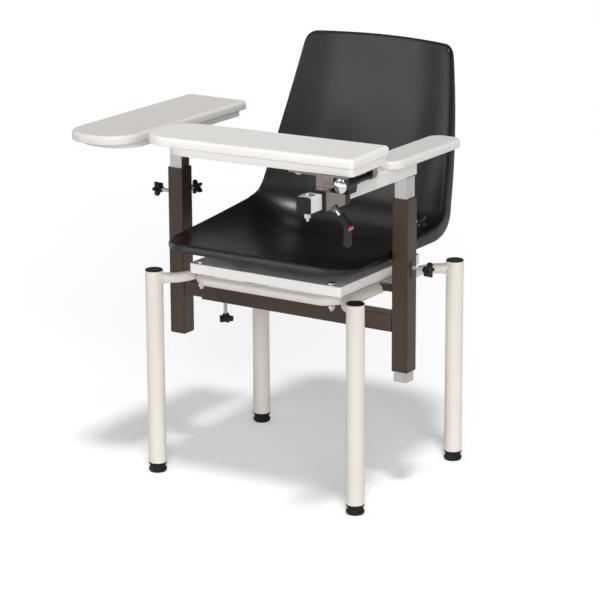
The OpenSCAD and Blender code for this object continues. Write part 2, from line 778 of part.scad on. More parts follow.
grid_size = rows * cols;
function on_rim(i, j) = i == 0 || j == 0 || i == rows - 1 || j == cols - 1;
function rim_number(i, j) =
    i == 0 ? j : j == cols - 1 ? cols - 1 + i :
    i == rows - 1 ? 2 * cols + rows - 3 - j : rim_count - i;
inner_points = concat(
    [for (r = grid) for (g = r) sheet_point(g[0], g[1])],
    [for (q = [1 : ring_count - 1]) for (p = lip[q]) p]
);
normals = concat(
    [for (i = [0 : rows - 1]) for (j = [0 : cols - 1])
        on_rim(i, j) ? lip_normal(0, rim_number(i, j)) : sheet_normal(grid[i][j][0], grid[i][j][1])],
    [for (q = [1 : ring_count - 1]) for (m = [0 : rim_count - 1]) lip_normal(q, m)]
);
skin_size = len(inner_points);
outer_points = [for (k = [0 : skin_size - 1]) inner_points[k] - shell_wall * normals[k]];

function cell(i, j) = i * cols + j;
function ring_cell(q, m) =
    let (k = m % rim_count)
    q == 0 ? cell(rim[k][0], rim[k][1]) : grid_size + (q - 1) * rim_count + k;
skin_faces = concat(
    [for (i = [0 : rows - 2]) for (j = [0 : cols - 2]) for (f = [
        [cell(i, j), cell(i + 1, j), cell(i + 1, j + 1)],
        [cell(i, j), cell(i + 1, j + 1), cell(i, j + 1)]]) f],
    [for (q = [0 : ring_count - 2]) for (m = [0 : rim_count - 1]) for (f = [
        [ring_cell(q, m), ring_cell(q, m + 1), ring_cell(q + 1, m + 1)],
        [ring_cell(q, m), ring_cell(q + 1, m + 1), ring_cell(q + 1, m)]]) f]
);
function edge_cell(m) = ring_cell(ring_count - 1, m);
edge_faces = [for (m = [0 : rim_count - 1]) for (f = [
    [edge_cell(m), edge_cell(m + 1), edge_cell(m + 1) + skin_size],
    [edge_cell(m), edge_cell(m + 1) + skin_size, edge_cell(m) + skin_size]]) f];
shell_points = concat(inner_points, outer_points);
shell_faces = concat(
    skin_faces,
    [for (f = skin_faces) [f[2] + skin_size, f[1] + skin_size, f[0] + skin_size]],
    edge_faces
);

module seat_shell() {
    color(shell_black) placed() polyhedron(points = shell_points, faces = shell_faces, convexity = 8);
}

// height of the shell's underside on its flat middle band
function shell_under(y) = shell_front_z - (y + shell_front) * tan(seat_slope) - shell_wall / cos(seat_slope);

module shell_spacers() {
    color(black) placed() difference() {
        at_spacers() translate([0, 0, pan_top + fit_gap]) cylinder(d = spacer_d, h = shell_lip_rear * 2);
        translate([-shell_width / 2, 0, shell_under(0) - 2 * fit_gap]) rotate([-seat_slope, 0, 0])
            translate([0, -shell_depth, 0]) cube([shell_width, 2 * shell_depth, 3 * shell_lip_rear]);
        at_spacers() translate([0, 0, pan_top]) cylinder(d = shell_bolt_d + fit_gap, h = shell_bolt_d * 2);
    }
}
module shell_bolts() {
    color(chrome) placed() at_spacers() {
        translate([0, 0, pan_under - fit_gap - bolt_head_h]) hex_head(bolt_flats, bolt_head_h);
        translate([0, 0, pan_under - fit_gap])
            cylinder(d = shell_bolt_d, h = pan_sheet + fit_gap + shell_bolt_d * 2);
    }
}

// Posts, crossbar and their brackets.
module screw_hole(x, z, direction) {
    translate([x, 0, z]) rotate(direction)
        cylinder(d = screw_d + 2 * run_gap, h = post_size);
}

module right_post() {
    color(bronze) on_posts() difference() {
        translate([post_right_x, 0, post_bottom]) square_tube(post_size, post_wall, post_length);
        screw_hole(post_right_x, knob_z, [-90, 0, 0]);
        screw_hole(post_right_x, lower_knob_z, [0, 90, 0]);
    }
    color(bronze) on_posts() difference() {
        translate([post_right_x + post_size / 2 + plate_t / 4, 0, lower_knob_z - nut_plate_l / 8])
            rotate([0, 90, 0]) linear_extrude(plate_t / 2, center = true)
                rounded_rect(nut_plate_l, nut_plate_w, nut_plate_w / 4);
        screw_hole(post_right_x, lower_knob_z, [0, 90, 0]);
    }
}

module crossbar_sleeve() {
    length = sleeve_end_x + post_right_face - fit_gap;
    color(bronze) on_posts() difference() {
        translate([-sleeve_end_x, 0, crossbar_z]) rotate([0, 90, 0])
            square_tube(post_size, post_wall, length);
        screw_hole(-crossbar_knob_x, crossbar_z, [180, 0, 0]);
    }
}

module hanger(side) {
    height = pan_under - fit_gap - crossbar_top - fit_gap;
    color(bronze) on_posts() translate([side * hanger_spacing / 2, 0, crossbar_top + fit_gap]) {
        difference() {
            translate([0, 0, height - hanger_sheet]) linear_extrude(hanger_sheet)
                rounded_rect(post_size, hanger_flange, hanger_sheet / 2);
            for (sy = [-1, 1])
                translate([side * post_size / 4, sy * (hanger_flange / 2 - bolt_flats), 0])
                    cylinder(d = shell_bolt_d + fit_gap, h = 2 * height);
        }
        translate([-hanger_sheet / 2, -post_size / 2, 0])
            cube([hanger_sheet, post_size, height - hanger_sheet]);
    }
}
module left_hanger() hanger(-1);
module right_hanger() hanger(1);

module hanger_bolts() {
    color(chrome) on_posts() at_hanger_bolts() {
        translate([0, 0, pan_top + fit_gap]) dome_head(bolt_flats, bolt_head_h);
        translate([0, 0, pan_under - hanger_sheet - 2 * bolt_head_h])
            cylinder(d = shell_bolt_d, h = pan_sheet + hanger_sheet + 2 * bolt_head_h + fit_gap);
    }
}

// Saddle that ties the right post to the rail beside it.
module post_bracket() {
    low = rail_z - bracket_drop;
    inner = rail_x - fit_gap;
    color(bronze) on_posts() translate([0, post_size / 2 - bracket_width, 0]) difference() {
        translate([inner, 0, low])
            cube([post_right_face - fit_gap - inner, bracket_width, bracket_drop + rail_d / 2 + fit_gap]);
        translate([rail_x, 0, rail_z]) rotate([90, 0, 0])
            cylinder(d = rail_d + 2 * fit_gap, h = 2 * bracket_width, center = true);
        translate([inner - rail_d, -bracket_width, rail_z - rail_d])
            cube([rail_d + fit_gap, 2 * bracket_width, rail_d]);
        translate([inner - rail_d, -bracket_width, rail_z])
            cube([rail_d + fit_gap, 2 * bracket_width, rail_d]);
    }
}

module inner_crossbar() {
    color(bronze) on_posts() translate([-post_left_x + post_size / 2 + fit_gap, 0, crossbar_z])
        rotate([0, 90, 0]) square_tube(column_size, column_wall, inner_bar_length);
}

module left_post() {
    color(bronze) on_posts() difference() {
        translate([-post_left_x, 0, post_bottom - left_post_drop])
            square_tube(post_size, post_wall, post_length);
        screw_hole(-post_left_x, knob_z, [0, -90, 0]);
        screw_hole(-post_left_x, knob_z, [-90, 0, 0]);
    }
}

// Left column and its arm board.
module left_column() {
    color(chrome) on_posts() translate([-post_left_x, 0, left_column_bottom])
        square_tube(column_size, column_wall, left_board_z - plate_t - 2 * fit_gap - left_column_bottom);
}

left_board_x = -post_left_x - left_board_offset;
module at_left_plate_screws() {
    for (sx = [-1, 1], sy = [-1, 1])
        translate([left_board_x + sx * (column_plate_w / 2 - bolt_flats / 1.4),
            sy * (column_plate_l / 2 - bolt_flats), left_board_z - plate_t - fit_gap]) children();
}

module left_column_plate() {
    color(chrome) on_posts() difference() {
        translate([left_board_x, 0, left_board_z - plate_t - fit_gap]) linear_extrude(plate_t)
            rounded_rect(column_plate_w, column_plate_l, tube_corner_r);
        at_left_plate_screws() translate([0, 0, -plate_t])
            cylinder(d = shell_bolt_d + fit_gap, h = 3 * plate_t);
    }
}

module plate_screw(depth) {
    mirror([0, 0, 1]) translate([0, 0, fit_gap]) dome_head(bolt_flats, bolt_head_h / 1.4);
    translate([0, 0, -fit_gap]) cylinder(d = shell_bolt_d, h = depth + fit_gap);
}

module left_plate_screws() {
    color(chrome) on_posts() at_left_plate_screws() plate_screw(plate_t + left_core / 2);
}

// A board's core and the top layer glued on it.
module board_core_slab(length, t, setback, square_setback) {
    translate([square_setback, 0, 0])
        soft_slab(length - square_setback - setback, board_width - 2 * core_side_setback,
            t, board_round_r - core_side_setback, board_square_r, board_edge / 3);
}
module board_top_slab(length, t) {
    translate([0, 0, t + fit_gap])
        soft_slab(length, board_width, board_top, board_round_r, board_square_r, board_edge);
}

module at_left_board() {
    on_posts() translate([left_board_x, left_board_rear, left_board_z]) rotate(-90) children();
}
module left_board_core() {
    color(board_white) difference() {
        at_left_board() board_core_slab(left_board_length, left_core, left_core_setback, core_square_setback);
        on_posts() at_left_plate_screws() cylinder(d = shell_bolt_d + fit_gap, h = plate_t + left_core * 0.7);
    }
}
module left_board_top() {
    color(board_white) at_left_board() board_top_slab(left_board_length, left_core);
}

// Right column, arm bar and armrest.
module right_column() {
    color(chrome) on_posts() translate([post_right_x, 0, right_column_bottom])
        square_tube(column_size, column_wall, bar_z - fit_gap - right_column_bottom);
}

armrest_screw_ys = [-armrest_front + bolt_flats * 1.4, -armrest_front + bolt_flats * 4.4];
module at_armrest_screws() {
    for (y = armrest_screw_ys) translate([post_right_x, y, bar_z]) children();
}
module at_stop_bolt() {
    translate([post_right_x, -bar_front + stop_bolt_inset, 0]) children();
}

module arm_bar() {
    color(bar_grey) on_posts() difference() {
        translate([post_right_x, bar_rear, bar_axis_z]) rotate([90, 0, 0])
            square_tube(bar_size, bar_wall, bar_front + bar_rear);
        at_stop_bolt() translate([0, 0, bar_z - bar_size])
            cylinder(d = stop_bolt_d + fit_gap, h = 3 * bar_size);
        at_armrest_screws() translate([0, 0, -bar_size]) cylinder(d = shell_bolt_d + fit_gap, h = 3 * bar_size);
    }
}

module bar_plug(y, out) {
    bore = bar_size - 2 * bar_wall - 2 * fit_gap;
    depth = stop_bolt_inset - stop_bolt_d / 2 - plug_flange;
    color(black) on_posts() translate([post_right_x, y, bar_axis_z]) rotate([-90 * out, 0, 0]) {
        translate([0, 0, fit_gap]) linear_extrude(plug_flange - fit_gap)
            rounded_rect(bar_size, bar_size, tube_corner_r);
        translate([0, 0, -depth]) linear_extrude(depth + plug_flange / 2)
            rounded_rect(bore, bore, tube_corner_r / 2);
    }
}
module bar_front_plug() bar_plug(-bar_front, -1);
module bar_rear_plug() bar_plug(bar_rear, 1);

stop_pad_h = stop_bolt_d;
module stop_bolt() {
    washer_h = stop_bolt_d / 3;
    color(chrome) on_posts() at_stop_bolt() {
        translate([0, 0, bar_top + fit_gap]) cylinder(d = stop_washer_d, h = washer_h);
        translate([0, 0, bar_top + fit_gap + washer_h]) dome_head(stop_bolt_d * 2, stop_bolt_d * 0.7);
        translate([0, 0, bar_z - stop_pad_h - 2 * stop_bolt_d])
            cylinder(d = stop_bolt_d, h = bar_size + stop_pad_h + 2 * stop_bolt_d + 2 * fit_gap);
    }
}
module stop_nut() {
    color(chrome) on_posts() at_stop_bolt() difference() {
        union() {
            translate([0, 0, bar_z - fit_gap - stop_pad_h]) cylinder(d = stop_bolt_d * 2.1, h = stop_pad_h);
            translate([0, 0, bar_z - fit_gap - stop_pad_h - stop_bolt_d * 0.8])
                hex_head(stop_bolt_d * 2, stop_bolt_d);
        }
        translate([0, 0, bar_z - 4 * stop_bolt_d]) cylinder(d = stop_bolt_d + 2 * run_gap, h = 4 * stop_bolt_d);
    }
}

module armrest_pad() {
    color(board_white) on_posts() difference() {
        translate([post_right_x, armrest_length - armrest_front, bar_top + fit_gap]) rotate(-90)
            soft_slab(armrest_length, armrest_width, armrest_t, armrest_r, armrest_r, board_edge);
        at_armrest_screws() cylinder(d = shell_bolt_d + fit_gap, h = bar_size + armrest_t / 1.6);
    }
}
module armrest_screws() {
    color(chrome) on_posts() at_armrest_screws() plate_screw(bar_size + armrest_t / 2);
}

// Slider on the arm bar.
module on_bar(y) {
    translate([post_right_x, -y, bar_axis_z]) rotate([-90, 0, 0]) children();
}
module clamp_axis(y = slider_front - slider_length / 2) {
    translate([post_right_x, -y, bar_axis_z]) rotate([0, 135, 0]) children();
}

module slider_sleeve() {
    color(chrome) on_posts() difference() {
        union() {
            on_bar(slider_front) square_tube(slider_size, slider_wall, slider_length, slider_wall);
            difference() {
                clamp_axis() translate([0, 0, slider_corner - slider_wall])
                    cylinder(d = screw_d * 1.9, h = boss_l);
                on_bar(slider_front) linear_extrude(slider_length)
                    rounded_rect(slider_size - slider_wall, slider_size - slider_wall, slider_wall);
            }
        }
        clamp_axis() cylinder(d = screw_d + 2 * run_gap, h = slider_size * 2);
    }
}

bushing_out = slider_size - 2 * slider_wall - 2 * fit_gap;
bushing_bore = bar_size + 2 * slide_gap;
module bushing_ring(size, length, r) {
    difference() {
        linear_extrude(length) rounded_rect(size, size, r);
        translate([0, 0, -bushing_depth]) linear_extrude(length + 2 * bushing_depth)
            rounded_rect(bushing_bore, bushing_bore, tube_corner_r);
    }
}

module front_bushing() {
    color(black) on_posts() {
        on_bar(slider_front + fit_gap + bushing_flange) bushing_ring(slider_size, bushing_flange, slider_wall);
        on_bar(slider_front + fit_gap) bushing_ring(bushing_out, bushing_depth, tube_corner_r);
    }
}

module along_hinge(y) {
    translate([hinge_x, -y, hinge_z]) rotate([-90, 0, 0]) children();
}

// Rear bushing with the ear that carries the hinge pin beside the bar.
module hinge_ear() {
    front = slider_rear - fit_gap;
    web_w = hinge_x - post_right_x;
    color(black) on_posts() difference() {
        union() {
            on_bar(front) linear_extrude(ear_thickness) rounded_rect(slider_size, slider_size, slider_wall);
            on_bar(front + bushing_depth) linear_extrude(bushing_depth + ear_thickness / 2)
                rounded_rect(bushing_out, bushing_out, tube_corner_r);
            translate([post_right_x, -front, bar_axis_z + slider_size / 4])
                cube([web_w, ear_thickness, hinge_up + rear_knuckle_d / 2 - slider_size / 4]);
            along_hinge(front) cylinder(d = rear_knuckle_d, h = ear_thickness);
            along_hinge(front + barrel_ear_l) linear_extrude(barrel_ear_l) {
                circle(d = barrel_d);
                translate([-barrel_d / 2, 0]) square([barrel_d * 0.9, ear_drop]);
                translate([post_right_x + slider_size / 2 + fit_gap - hinge_x, ear_drop * 0.4])
                    square([barrel_d * 0.9, ear_drop * 0.6]);
            }
        }
        on_bar(front + 2 * bushing_depth) linear_extrude(bushing_depth * 4)
            rounded_rect(bushing_bore, bushing_bore, tube_corner_r);
        along_hinge(hinge_front) cylinder(d = hinge_pin_d + fit_gap, h = bar_front);
    }
}

module hinge_pin() {
    color(chrome) on_posts() {
        along_hinge(hinge_front - hinge_head_h) mirror([0, 0, 1]) dome_head(hinge_head_d, hinge_head_h);
        along_hinge(hinge_front - hinge_head_h)
            cylinder(d = hinge_pin_d, h = hinge_front - hinge_head_h - pin_end_y);
        along_hinge(pin_end_y + bolt_head_h) cylinder(d = hinge_pin_d * 1.5, h = bolt_head_h);
    }
}

module torsion_sleeve() {
    color(black) on_posts() along_hinge(torsion_y) difference() {
        cylinder(d = torsion_d, h = torsion_l);
        translate([0, 0, -torsion_l]) cylinder(d = hinge_pin_d + fit_gap, h = 3 * torsion_l);
    }
}

// Flip arm.
bracket_z = flip_board_z - fit_gap - plate_t;
stop_block_x = post_right_x - stop_block_w / 2;
bracket_left_x = hinge_x + barrel_d / 2 - bracket_plate_l;
module at_bracket_screws() {
    near = -hinge_front + bracket_plate_w * 0.2;
    far = -hinge_front + bracket_plate_w * 0.9;
    left = bracket_left_x + dome_d * 0.7;
    for (p = [[left, near], [left, far], [left + dome_d * 2, far]])
        translate([p[0], p[1], bracket_z]) children();
}

module flip_bracket() {
    sleeve_top = bar_axis_z + slider_size / 2 + fit_gap;
    color(chrome) on_posts() difference() {
        union() {
            translate([bracket_left_x, -hinge_front + hinge_head_h, bracket_z])
                cube([bracket_plate_l, bracket_plate_w + barrel_d / 2, plate_t]);
            translate([stop_block_x, -hinge_front + hinge_head_h, sleeve_top])
                cube([hinge_x - hinge_head_d / 2 - fit_gap - stop_block_x, stop_block_l,
                    bracket_z - sleeve_top + plate_t / 2]);
            translate([hinge_x - rear_knuckle_d / 2, -barrel_rear_y, hinge_z])
                cube([rear_knuckle_d, barrel_rear_l, bracket_z - hinge_z + plate_t / 2]);
            along_hinge(barrel_rear_y) cylinder(d = rear_knuckle_d, h = barrel_rear_l);
        }
        along_hinge(hinge_front) cylinder(d = hinge_pin_d + 2 * run_gap, h = bar_front);
        at_bracket_screws() translate([0, 0, -plate_t]) cylinder(d = shell_bolt_d + fit_gap, h = 3 * plate_t);
    }
}

module hinge_barrel() {
    color(black) on_posts() difference() {
        union() {
            along_hinge(barrel_front_y) cylinder(d = barrel_d, h = barrel_front_l);
            translate([hinge_x - barrel_d / 2, -barrel_front_y, hinge_z])
                cube([barrel_d, barrel_front_l, bracket_z - fit_gap - hinge_z]);
        }
        along_hinge(hinge_front) cylinder(d = hinge_pin_d + 2 * run_gap, h = bar_front);
    }
}

module bracket_screws() {
    color(chrome) on_posts() at_bracket_screws() {
        mirror([0, 0, 1]) translate([0, 0, fit_gap]) dome_head(dome_d, dome_h);
        translate([0, 0, -2 * fit_gap]) cylinder(d = shell_bolt_d, h = plate_t + board_core / 2);
    }
}

module at_flip_board() {
    on_posts() translate([hinge_x + flip_board_out, -flip_board_near + board_width / 2, flip_board_z])
        rotate(180 + flip_board_yaw) children();
}
module flip_board_core() {
    color(board_white) difference() {
        at_flip_board() board_core_slab(flip_board_length, board_core, flip_core_setback, flip_square_setback);
        on_posts() at_bracket_screws() cylinder(d = shell_bolt_d + fit_gap, h = plate_t + board_core * 0.7);
    }
}
module flip_board_top() {
    color(board_white) at_flip_board() board_top_slab(flip_board_length, board_core);
}

// Clamping lever, along its own axis through the slider corner.
module clamp_screw() {
    start = bar_corner + fit_gap;
    color(chrome) on_posts() clamp_axis() translate([0, 0, start])
        cylinder(d = screw_d, h = hub_start + hub_l - button_well - fit_gap - start - screw_d / 2);
}

module clamp_lever() {
    arm_l = lever_l - hub_d / 4;
    color(black) on_posts() clamp_axis() translate([0, 0, hub_start]) difference() {
        union() {
            cylinder(d = hub_d, h = hub_l);
            translate([0, 0, hub_l * lever_root]) rotate(lever_turn) rotate([0, -lever_lean, 0])
                translate([0, 0, -lever_t / 2]) linear_extrude(lever_t) {
                    polygon([
                        [0, -hub_d * 0.36], [0, hub_d * 0.36],
                        [arm_l - lever_w / 2, lever_w / 2], [arm_l - lever_w / 2, -lever_w / 2]
                    ]);
                    translate([arm_l - lever_w / 2, 0]) circle(d = lever_w);
                }
        }
        translate([0, 0, -hub_l]) cylinder(d = screw_d + fit_gap, h = 2 * hub_l);
        translate([0, 0, hub_l - button_well]) cylinder(d = button_d + fit_gap, h = hub_l);
    }
}

module release_button() {
    color(red) on_posts() clamp_axis() translate([0, 0, hub_start + hub_l - button_up])
        cylinder(d = button_d, h = button_up * 2);
}

// Star knobs.
module star_head() {
    lobe_r = knob_d / 2 - knob_lobe_d / 2;
    bore_d = screw_d + fit_gap;
    difference() {
        union() {
            cylinder(d = knob_neck_d, h = knob_neck_h + knob_star_h / 2);
            translate([0, 0, knob_neck_h]) linear_extrude(knob_star_h) {
                circle(d = knob_d * 0.56);
                for (i = [0 : 4]) rotate(72 * i) {
                    translate([lobe_r, 0]) circle(d = knob_lobe_d);
                    translate([lobe_r / 2, 0]) square([lobe_r, knob_lobe_d], center = true);
                }
            }
        }
        translate([0, 0, -knob_neck_h]) cylinder(d = bore_d, h = 2 * knob_neck_h + knob_star_h / 2);
    }
}
module knob_screw(reach) {
    seat = knob_standoff + knob_neck_h + knob_star_h / 2 - fit_gap;
    translate([0, 0, -reach]) cylinder(d = screw_d, h = reach + seat);
}
screw_reach = (post_size - column_size) / 2 - fit_gap;

module face_frame(x, y, z, direction) {
    on_posts() translate([x, y, z]) rotate(direction) children();
}
module knob_at(x, y, z, direction) {
    color(black) face_frame(x, y, z, direction) translate([0, 0, knob_standoff]) star_head();
}
module screw_at(x, y, z, direction) {
    color(chrome) face_frame(x, y, z, direction) knob_screw(screw_reach);
}

half_post = post_size / 2;
module left_side_knob() knob_at(-post_left_x - half_post, 0, knob_z, [0, -90, 0]);
module left_side_screw() screw_at(-post_left_x - half_post, 0, knob_z, [0, -90, 0]);
module left_rear_knob() knob_at(-post_left_x, half_post, knob_z, [-90, 0, 0]);
module left_rear_screw() screw_at(-post_left_x, half_post, knob_z, [-90, 0, 0]);
module right_rear_knob() knob_at(post_right_x, half_post, knob_z, [-90, 0, 0]);
module right_rear_screw() screw_at(post_right_x, half_post, knob_z, [-90, 0, 0]);
module lower_right_knob() knob_at(post_right_x + half_post, 0, lower_knob_z, [0, 90, 0]);
module lower_right_screw() screw_at(post_right_x + half_post, 0, lower_knob_z, [0, 90, 0]);
module crossbar_knob() knob_at(-crossbar_knob_x, 0, crossbar_z - half_post, [180, 0, 0]);
module crossbar_screw() screw_at(-crossbar_knob_x, 0, crossbar_z - half_post, [180, 0, 0]);

front_left_leg();
front_right_leg();
rear_left_leg();
rear_right_leg();
leg_caps();
leg_feet();
left_side_rail();
right_side_rail();
front_seat_ring();
rear_seat_ring();
seat_pan();
pan_bolts();
pan_nuts();
seat_shell();
shell_spacers();
shell_bolts();
right_post();
crossbar_sleeve();
left_hanger();
right_hanger();
hanger_bolts();
post_bracket();
inner_crossbar();
left_post();
left_column();
left_column_plate();
left_plate_screws();
left_board_core();
left_board_top();
right_column();
arm_bar();
bar_front_plug();
bar_rear_plug();
stop_bolt();
stop_nut();
armrest_pad();
armrest_screws();
slider_sleeve();
front_bushing();
hinge_ear();
hinge_pin();
torsion_sleeve();
flip_bracket();
hinge_barrel();
bracket_screws();
flip_board_core();
flip_board_top();
clamp_screw();
clamp_lever();
release_button();
left_side_knob();
left_side_screw();
left_rear_knob();
left_rear_screw();
right_rear_knob();
right_rear_screw();
lower_right_knob();
lower_right_screw();
crossbar_knob();
crossbar_screw();
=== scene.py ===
"""Looks of a blood-drawing chair: a moulded seat shell on a white tube frame, two arm
posts in bronze enamel, white arm boards and the sliding hinge of the flip-up board.

The CAD solids give every place and size. Most of them stay and get a finish; the shell,
the boards, the round rails, the knobs' screws and the star knobs are made again here
with rounder forms, in the places of the solids that they stand for. The weld beads
between the rails and the legs are made only here.
"""
import json
import math

import bpy
from mathutils import Matrix, Vector


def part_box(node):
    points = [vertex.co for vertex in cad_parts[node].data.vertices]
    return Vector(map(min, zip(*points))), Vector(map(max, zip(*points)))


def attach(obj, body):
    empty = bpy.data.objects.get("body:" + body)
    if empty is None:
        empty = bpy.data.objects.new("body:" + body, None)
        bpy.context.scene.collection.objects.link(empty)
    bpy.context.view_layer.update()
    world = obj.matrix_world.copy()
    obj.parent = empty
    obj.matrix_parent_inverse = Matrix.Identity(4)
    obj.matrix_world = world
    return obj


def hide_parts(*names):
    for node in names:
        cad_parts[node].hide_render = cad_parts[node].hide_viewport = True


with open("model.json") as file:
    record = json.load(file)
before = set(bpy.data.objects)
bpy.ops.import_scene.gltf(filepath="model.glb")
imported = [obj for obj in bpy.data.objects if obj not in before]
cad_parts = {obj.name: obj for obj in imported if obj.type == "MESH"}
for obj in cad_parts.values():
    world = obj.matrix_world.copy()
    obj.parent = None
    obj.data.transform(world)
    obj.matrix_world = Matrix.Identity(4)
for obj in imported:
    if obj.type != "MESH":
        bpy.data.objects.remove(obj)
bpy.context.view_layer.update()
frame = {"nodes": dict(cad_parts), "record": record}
nodes = frame["nodes"]
scene = bpy.context.scene

MM = 0.001
# Middle of the whole chair, in millimetres from the middle of its leg frame.
MIDDLE = Vector((-28.0, -38.1105, 0.0))
# Post axes, ahead of the middle of the leg frame.
POST_AHEAD = 31.0
body_of = {
    node: body
    for body, members in frame["record"]["behaviour"]["bodies"].items()
    for node in members
}


def at(x, y, z):
    """A point given from the middle of the leg frame in millimetres, as metres here."""
    return (Vector((x, y, z)) - MIDDLE) * MM


def new_object(name, data):
    """A new object of the scene."""
    made = bpy.data.objects.new(name, data)
    scene.collection.objects.link(made)
    return made


# Camera

# Place in metres.
CAMERA_AT = (3.011983, -4.584909, 1.918581)
# Azimuth, elevation and roll in degrees.
CAMERA_TURN = (32.962, 15.715, -0.288)
# Focal length and picture width in pixels, and the sensor's width in millimetres.
FOCAL, PICTURE, SENSOR = 2681.531, 600, 36
CLIP_NEAR, CLIP_FAR = 0.1, 60


def aim_camera():
    """Places the camera where the chair is seen as in the photograph."""
    azimuth, elevation, roll = (math.radians(a) for a in CAMERA_TURN)
    ahead = Vector((
        -math.sin(azimuth) * math.cos(elevation),
        math.cos(azimuth) * math.cos(elevation),
        -math.sin(elevation),
    ))
    level = ahead.cross(Vector((0, 0, 1))).normalized()
    over = level.cross(ahead)
    right = level * math.cos(roll) + over * math.sin(roll)
    up = over * math.cos(roll) - level * math.sin(roll)
    lens = bpy.data.cameras.new("photograph_camera")
    lens.sensor_width = SENSOR
    lens.lens = FOCAL / PICTURE * SENSOR
    lens.clip_start, lens.clip_end = CLIP_NEAR, CLIP_FAR
    camera = new_object("photograph_camera", lens)
    turn = Matrix((right, up, -ahead)).transposed()
    camera.matrix_world = Matrix.Translation(CAMERA_AT) @ turn.to_4x4()
    scene.camera = camera


# Node helpers

def empty_tree(owner):
    """The cleared node tree of a material or a world."""
    owner.use_nodes = True
    owner.node_tree.nodes.clear()
    return owner.node_tree


def add(tree, kind, inputs=None, **settings):
    """Adds a node, sets its fields, and fills its inputs from sockets or plain values."""
    made = tree.nodes.new(kind)
    for field, value in settings.items():
        setattr(made, field, value)
    for key, value in (inputs or {}).items():
        socket = made.inputs[key]
        if isinstance(value, bpy.types.NodeSocket):
            tree.links.new(value, socket)
        else:
            socket.default_value = value
    return made


def start_group(name, kind, taken, given):
    """A node group with its named inputs (name, socket, start value) and outputs."""
    tree = bpy.data.node_groups.new(name, kind)
    for title, socket, value in taken:
        made = tree.interface.new_socket(name=title, in_out="INPUT", socket_type=socket)
        if value is not None:
            made.default_value = value
    for title, socket in given:
        tree.interface.new_socket(name=title, in_out="OUTPUT", socket_type=socket)
    return tree, tree.nodes.new("NodeGroupInput"), tree.nodes.new("NodeGroupOutput")


def sums(tree, operation, a, b):
    """One sum of two sockets or plain values: ADD, MULTIPLY and so on."""
    return add(tree, "ShaderNodeMath", {0: a, 1: b}, operation=operation).outputs[0]


def noise(tree, place, scale, detail, rough=0.5):
    """Outputs of a noise pattern."""
    return add(tree, "ShaderNodeTexNoise", {"Vector": place, "Scale": scale, "Detail": detail,
                                            "Roughness": rough}).outputs


def ranged(tree, value, start, end, low=0.0, high=1.0, kind="LINEAR"):
    """Turns a value between start and end into one between low and high."""
    return add(tree, "ShaderNodeMapRange",
               {"Value": value, "From Min": start, "From Max": end, "To Min": low, "To Max": high},
               interpolation_type=kind).outputs["Result"]


FLOAT, SOFTLY = "NodeSocketFloat", "SMOOTHSTEP"


# Surface groups

def paint_skin_group():
    """Orange peel of sprayed enamel, and the slow clouding of its tone."""
    tree, taken, given = start_group(
        "paint skin", "ShaderNodeTree",
        [("Peel Size", FLOAT, 700.0), ("Peel Depth", FLOAT, 1.0), ("Cloud Size", FLOAT, 6.0)],
        [("Height", FLOAT), ("Cloud", FLOAT)],
    )
    place = add(tree, "ShaderNodeTexCoord").outputs["Object"]
    peel = noise(tree, place, taken.outputs["Peel Size"], 2.0, 0.45)
    cloud = noise(tree, place, taken.outputs["Cloud Size"], 5.0, 0.55)
    height = sums(tree, "MULTIPLY", peel["Fac"], taken.outputs["Peel Depth"])
    tree.links.new(height, given.inputs["Height"])
    tree.links.new(ranged(tree, cloud["Fac"], 0.3, 0.7), given.inputs["Cloud"])
    return tree


def moulded_grain_group():
    """Pebbled grain of a moulded shell or grip, with valleys between the pebbles."""
    tree, taken, given = start_group(
        "moulded grain", "ShaderNodeTree",
        [("Pebbles", FLOAT, 900.0), ("Uneven", FLOAT, 0.35)],
        [("Height", FLOAT), ("Valley", FLOAT)],
    )
    place = add(tree, "ShaderNodeTexCoord").outputs["Object"]
    drift = noise(tree, place, sums(tree, "MULTIPLY", taken.outputs["Pebbles"], 0.4), 2.0)
    pushed = add(tree, "ShaderNodeVectorMath",
                 {0: drift["Color"], 3: 0.0012}, operation="SCALE").outputs[0]
    moved = add(tree, "ShaderNodeVectorMath", {0: place, 1: pushed}, operation="ADD").outputs[0]
    cells = add(tree, "ShaderNodeTexVoronoi",
                {"Vector": moved, "Scale": taken.outputs["Pebbles"]}, feature="DISTANCE_TO_EDGE")
    dome = ranged(tree, cells.outputs["Distance"], 0.0, 0.28, kind=SOFTLY)
    tall = sums(tree, "MULTIPLY", dome, sums(tree, "ADD", 0.7, sums(
        tree, "MULTIPLY", drift["Fac"], taken.outputs["Uneven"])))
    tree.links.new(tall, given.inputs["Height"])
    tree.links.new(sums(tree, "SUBTRACT", 1.0, dome), given.inputs["Valley"])
    return tree


def wiped_marks_group():
    """Faint streaks left by wiping, drawn out along one way of the piece."""
    tree, taken, given = start_group(
        "wiped marks", "ShaderNodeTree",
        [("Stretch", "NodeSocketVector", (60.0, 60.0, 6.0)), ("Fineness", FLOAT, 1.0)],
        [("Streak", FLOAT), ("Scratch", FLOAT)],
    )
    place = add(tree, "ShaderNodeTexCoord").outputs["Object"]
    drawn = add(tree, "ShaderNodeVectorMath", {0: place, 1: taken.outputs["Stretch"]},
                operation="MULTIPLY").outputs[0]
    streak = noise(tree, drawn, taken.outputs["Fineness"], 6.0, 0.6)
    thin = noise(tree, drawn, sums(tree, "MULTIPLY", taken.outputs["Fineness"], 14.0), 3.0, 0.7)
    tree.links.new(ranged(tree, streak["Fac"], 0.32, 0.68), given.inputs["Streak"])
    tree.links.new(ranged(tree, thin["Fac"], 0.62, 0.74), given.inputs["Scratch"])
    return tree


paint_skin = paint_skin_group()
moulded_grain = moulded_grain_group()
wiped_marks = wiped_marks_group()


# Finishes

# Roughness that a scratch adds, and depth of the surface relief in metres.
SCRATCH_ROUGH, RELIEF = 0.05, 0.0002


